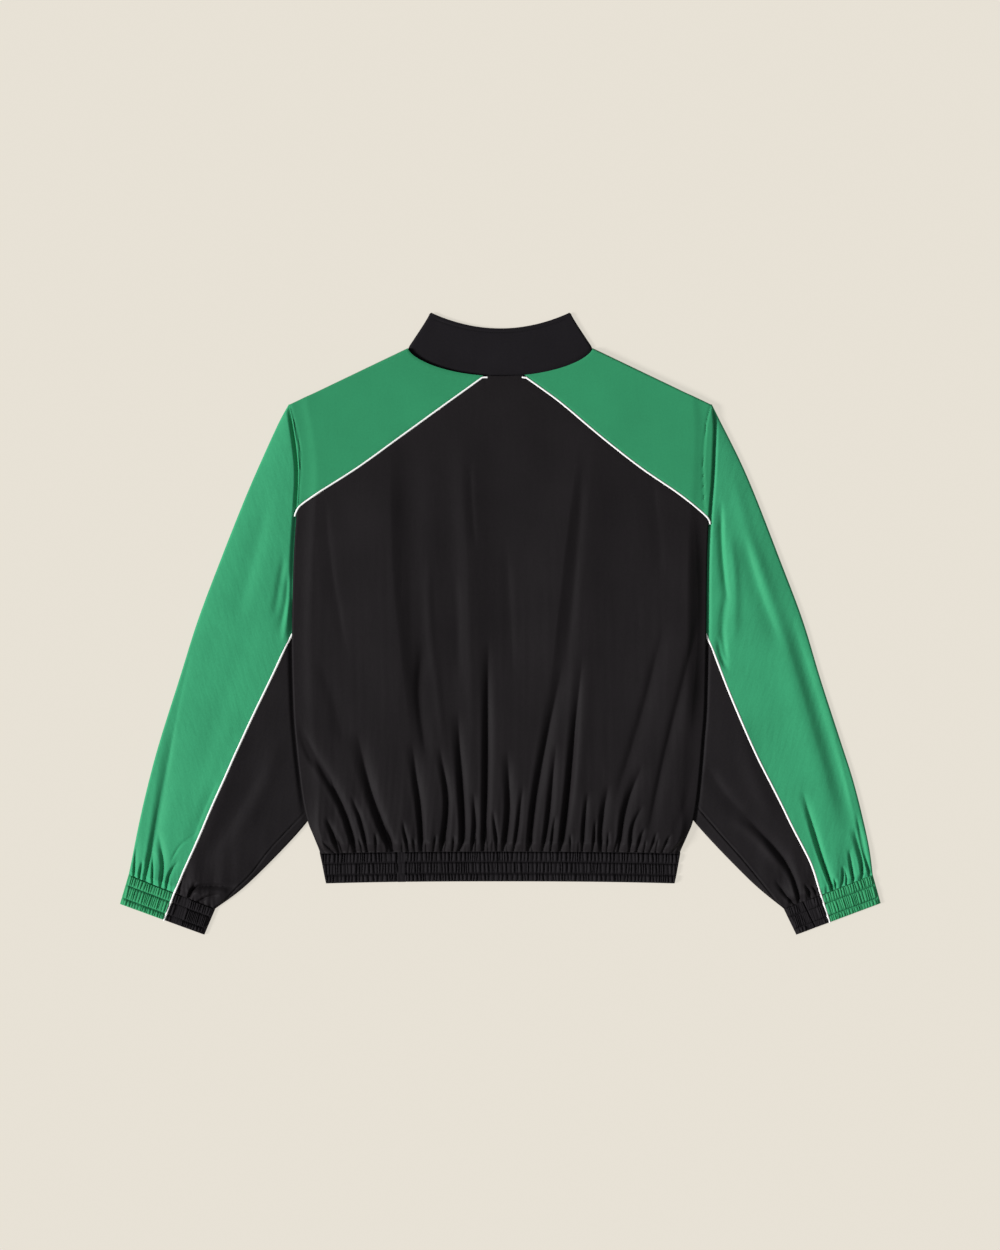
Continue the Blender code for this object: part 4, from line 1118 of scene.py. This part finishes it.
def cuff(side):
    """The two halves of an elastic cuff. The black one has a plain stretch, and a join on the right cuff."""
    stations = np.linspace(CUFF_STATION + JOIN_GAP, len(SLEEVES[side]) - 1, CUFF_ROWS)
    share = (stations - stations[0]) / (stations[-1] - stations[0])
    width = sleeve_sections(side, stations)[2]
    start, end, soft = CUFF_PLAIN[side]
    top, bottom = np.s_[:, :CUFF_TOPS, 2], np.s_[:, -CUFF_BOTTOMS:, 2]
    halves = (("outer", "green", "green_cuff", 50), ("inner", "black", "black_rib", 60))
    for edge, colour, finish, seed in halves:

        def face(layer, plan, chord_share, above):
            distance = chord_share * width
            relief = elastic(distance, share, CUFF_LINES, CUFF_LENGTH, CUFF_RIB_PITCH,
                             seed + (7 if layer == "bottom" else 0))
            if edge == "inner":
                plain = smooth((distance - width + end) / soft) * smooth((width - distance - start) / soft)
                relief = relief * (1 - 0.8 * plain)
                if side == "right" and layer == "top":
                    relief = relief - 0.9 * bell((width - distance - CUFF_JOIN) / 0.8)
            near_fold = smooth((np.minimum(distance, width - distance) - SLEEVE_EDGE_R) / 3)
            if layer == "top":
                return SLEEVE_FLAT + near_fold * (0.2 + RIB_RISE * 0.85 * relief)
            return UNDER_RIBS * near_fold * np.clip(1 - relief, 0, 1)

        outside, inside = wrapped(side, stations, edge, CUFF_TOPS, CUFF_BOTTOMS, face)
        inside[top] = np.minimum(inside[top], SLEEVE_FLAT - CLOTH)
        inside[bottom] = np.maximum(inside[bottom], CLOTH + UNDER_RIBS)
        rows = [np.abs(share - line).argmin() for line in CUFF_LINES[1:-1]]
        lines = [outside[row, 2:CUFF_TOPS - 2:2] + (0, 0, 0.1) for row in rows]
        name = f"{side}_{colour}"
        # on the green half the stitches are thick and close, so their darkened thread paints the grooves'
        # shade along the stitch lines
        cloth_piece("cuff_" + name, "cuff_" + colour, "cuff_" + colour, "floor", outside, inside, finish,
                    [("cuff_stitches_" + name, lines, colour + "_thread", 2.6, 2.4, 0.95)],
                    few=6, flip=(side == "left") == (edge == "outer"))


def sleeve_piping(side):
    """The cord between the two panels of a sleeve, on both faces, on to the end of the cuff."""
    stations = np.concatenate([np.linspace(0, FINE_FROM, 120)[:-1],
                               np.linspace(FINE_FROM, len(SLEEVES[side]) - 1, 60)])
    outer, along, width, pipe, _, above = sleeve_sections(side, stations)
    plan = outer + along * pipe[:, None]
    level = sleeve_top(side, *plan.T, pipe / width, above.clip(0))
    level = np.where(above < 0, SLEEVE_FLAT + 0.8, level)
    level = np.convolve(np.pad(level, 4, mode="edge"), np.ones(9) / 9, mode="valid")
    cord(f"sleeve_piping_{side}_back", points(*plan.T, level - CORD_SUNK), CORD_R)
    cord(f"sleeve_piping_{side}_front", points(*plan.T, FLAT_CORD_Z), FLAT_CORD_R)


# ------------ waistband
def band_plan(shares, columns, inset):
    """Plan of the waistband, at shares of its depth and of its width."""
    rows = np.array(BAND_ROWS, float)
    depth = (rows[0, 0] - rows[:, 0]) / (rows[0, 0] - rows[-1, 0])
    y_mid, left, right = (np.interp(shares, depth, rows[:, k])[:, None] for k in range(3))
    x = left + inset + columns[None, :] * (right - left - 2 * inset)
    y = y_mid - sag(columns[None, :])
    return x, y, tuple(depth)


def waistband(face):
    """One half of the waistband. The back one has a plain stretch between its two joins."""
    back = face == "back"
    width = BAND_ROWS[0][2] - BAND_ROWS[0][1]
    length = BAND_ROWS[0][0] - BAND_ROWS[-1][0]
    rows, columns = BAND_GRIDS[face]
    shares = np.linspace(0, 1, rows)
    x, y, lines = band_plan(shares, edge_shares(width, columns), 0.0 if back else FRONT_INSET)
    relief = elastic(x, shares[:, None], lines, length, BAND_RIB_PITCH, 80 if back else 90)
    if back:
        plain = smooth((x - BAND_JOINS[0]) / 1.5) * smooth((BAND_JOINS[1] - x) / 1.5)
        relief = relief * (1 - 0.75 * plain) + 0.3 * plain
        for join in BAND_JOINS:
            relief = relief - 0.5 * bell((x - join) / 0.6)
        y = y - 0.35 * shares[:, None] ** 8 * relief
        to_end = np.minimum(x - x[:, :1], x[:, -1:] - x)
        outer_z, turn = rolled(WALL + LAYER + 1.0 + RIB_RISE * relief, LOW_EDGE, to_end)
        inner_z, _ = rolled(np.full(x.shape, WALL + LAYER), LOW_EDGE, to_end)
        inner_x = x + np.where(x < 0, 1, -1) * CLOTH * turn
        thread_z = outer_z + 0.1
    else:
        outer_z = 0.6 * np.clip(1 - relief, 0, 1)
        inner_x, inner_z = x, WALL + 0.1
        thread_z = np.maximum(outer_z - 0.1, 0.35)
    over = points(x, y, thread_z)
    paths = [over[np.abs(shares - line).argmin()][8:-8:3] for line in lines[1:-1]]
    cloth_piece(f"waistband_{face}", "waistband_black", "waistband",
                "waistband_front_cloth" if back else "floor",
                points(x, y, outer_z), points(inner_x, y, inner_z), "black_rib",
                [(f"waistband_stitches_{face}", paths, "black_thread")], few=5, flip=back)


# ------------ collar
COLLAR_WALL = 1.1  # its two layers and the interlining
COLLAR_TOP = COLLAR_ROWS[-1][1] - COLLAR_ROWS[-1][2]  # y of its top edge in the middle of the back
COLLAR_HEIGHT = COLLAR_TOP - (COLLAR_ROWS[0][1] - COLLAR_ROWS[0][2])
COLLAR_STITCH = 5.2  # the topstitch line lies this far below the collar's top edge
COLLAR_TUCK = (1.3, 1.5)  # the back half starts this far in under the yokes' edges, in plan and in height


def collar_row(row, below, depth):
    """One row round the collar: its back, the right fold, its front and the left fold.

    below is the distance from the top edge. depth is 0 on the outer side and COLLAR_WALL on the inner one.
    """
    half_width, y_side, back_drop, front_drop, bend = row
    back, front = np.linspace(-1, 1, COLLAR_GRID[1]), np.linspace(1, -1, COLLAR_GRID[2])
    r = COLLAR_EDGE_R
    reach = half_width - r
    tuck = bell((COLLAR_HEIGHT - below) / 2.5)
    y_fold, sunk = y_side - COLLAR_TUCK[0] * tuck, COLLAR_TUCK[1] * tuck

    def y_at(x, drop, curve):
        return y_fold - fallen(x, half_width, drop, curve)

    x = reach * back
    y = y_at(x, back_drop, bend)
    z = 2 * r - depth - sunk
    if depth == 0:
        swell = 0.25 * np.sin(math.pi * np.clip(below / 5, 0, 1)) + 0.12 * noise(x, y, 45, 41)
        line = 0.35 * bell((below - COLLAR_STITCH) / 0.9)
        rim = 0.35 * bell(below / 2)
        z += smooth((1 - np.abs(back)) / 0.12) * (swell - line - rim + 0.25 * (1 - back**2))
    else:
        z -= 0.3
    top = points(x, y, z)
    round_x, round_z = np.cos(FOLD_ANGLES), np.sin(FOLD_ANGLES)
    fold_x = reach + r * round_x
    fold_y = np.where(round_z > 0, y_at(fold_x, back_drop, bend), y_at(fold_x, front_drop, NECK_BEND))
    fold_z = (r + (r - depth) * round_z) * (1 - sunk / (2 * r))
    right = points(reach + (r - depth) * round_x, fold_y, fold_z)
    x = reach * front
    bottom = points(x, y_at(x, front_drop, NECK_BEND), depth)
    return np.concatenate([top, right, bottom, right[::-1] * (-1, 1, 1)])


def collar():
    """The stand collar, a ring pressed flat: its back half on top, its deeper front half under it."""
    table = fine(COLLAR_ROWS, COLLAR_GRID[0])
    below = COLLAR_TOP - (table[:, 1] - table[:, 2])
    outer, inner = (np.stack([collar_row(row, gone, depth) for row, gone in zip(table, below)])
                    for depth in (0.0, COLLAR_WALL))
    over = outer[np.abs(below - COLLAR_STITCH).argmin(), 4:COLLAR_GRID[1] - 4] + (0, 0, 0.08)
    cloth_piece("collar", "collar_black", "collar", "floor", outer, inner, "black_collar",
                [("collar_stitches", [over], "black_thread")], few=12, ring=True)


# ------------ floor, light and camera
def floor():
    """The pale surface that the jacket lies on."""
    data = bpy.data.meshes.new("floor")
    corners = [(x * FLOOR_HALF, y * FLOOR_HALF, -FLOOR_GAP) for x, y in ((-1, -1), (1, -1), (1, 1), (-1, 1))]
    data.from_pydata(corners, [], [(0, 1, 2, 3)])
    material, tree, shader = new_material("floor_paper")
    grain = node(tree, "TexNoise", {"Scale": 3.0})
    own = [c * (1 - FLOOR_GLOW) for c in FLOOR_COLOUR]
    feed(tree, shader, {
        "Base Color": shades(tree, grain, own, 0.02, 0.0, 1.0),
        "Roughness": 0.9,
        "Specular IOR Level": 0.0,
        "Emission Color": (*FLOOR_COLOUR, 1),
        "Emission Strength": FLOOR_GLOW,
    })
    data.materials.append(material)
    placed("floor", data)


def light():
    """A broad sun from the left and an even sky."""
    world = bpy.data.worlds.new("studio")
    bpy.context.scene.world = world
    world.use_nodes = True
    sky = {"Color": (1.0, 1.0, 1.0, 1.0), "Strength": SKY_STRENGTH}
    feed(world.node_tree, world.node_tree.nodes["Background"], sky)
    lamp = bpy.data.lights.new("key", "SUN")
    lamp.energy = SUN_STRENGTH
    lamp.angle = math.radians(SUN_WIDTH)
    placed("key", lamp).rotation_euler = np.radians(SUN_TURN)


def camera():
    """The photograph's camera, straight above the middle."""
    data = bpy.data.cameras.new("camera")
    data.lens, data.sensor_width = LENS, SENSOR
    obj = placed("camera", data)
    obj.location = CAMERA_PLACE
    bpy.context.scene.camera = obj
    bpy.context.scene.view_settings.view_transform = "Standard"


# ------------ the whole scene
camera()
light()
floor()
front_body()
back_body()
for side in SIGN:
    for face in ("front", "back"):
        yoke(side, face)
        yoke_piping(side, face)
    sleeve(side)
    sleeve_piping(side)
    cuff(side)
for face in ("front", "back"):
    waistband(face)
collar()
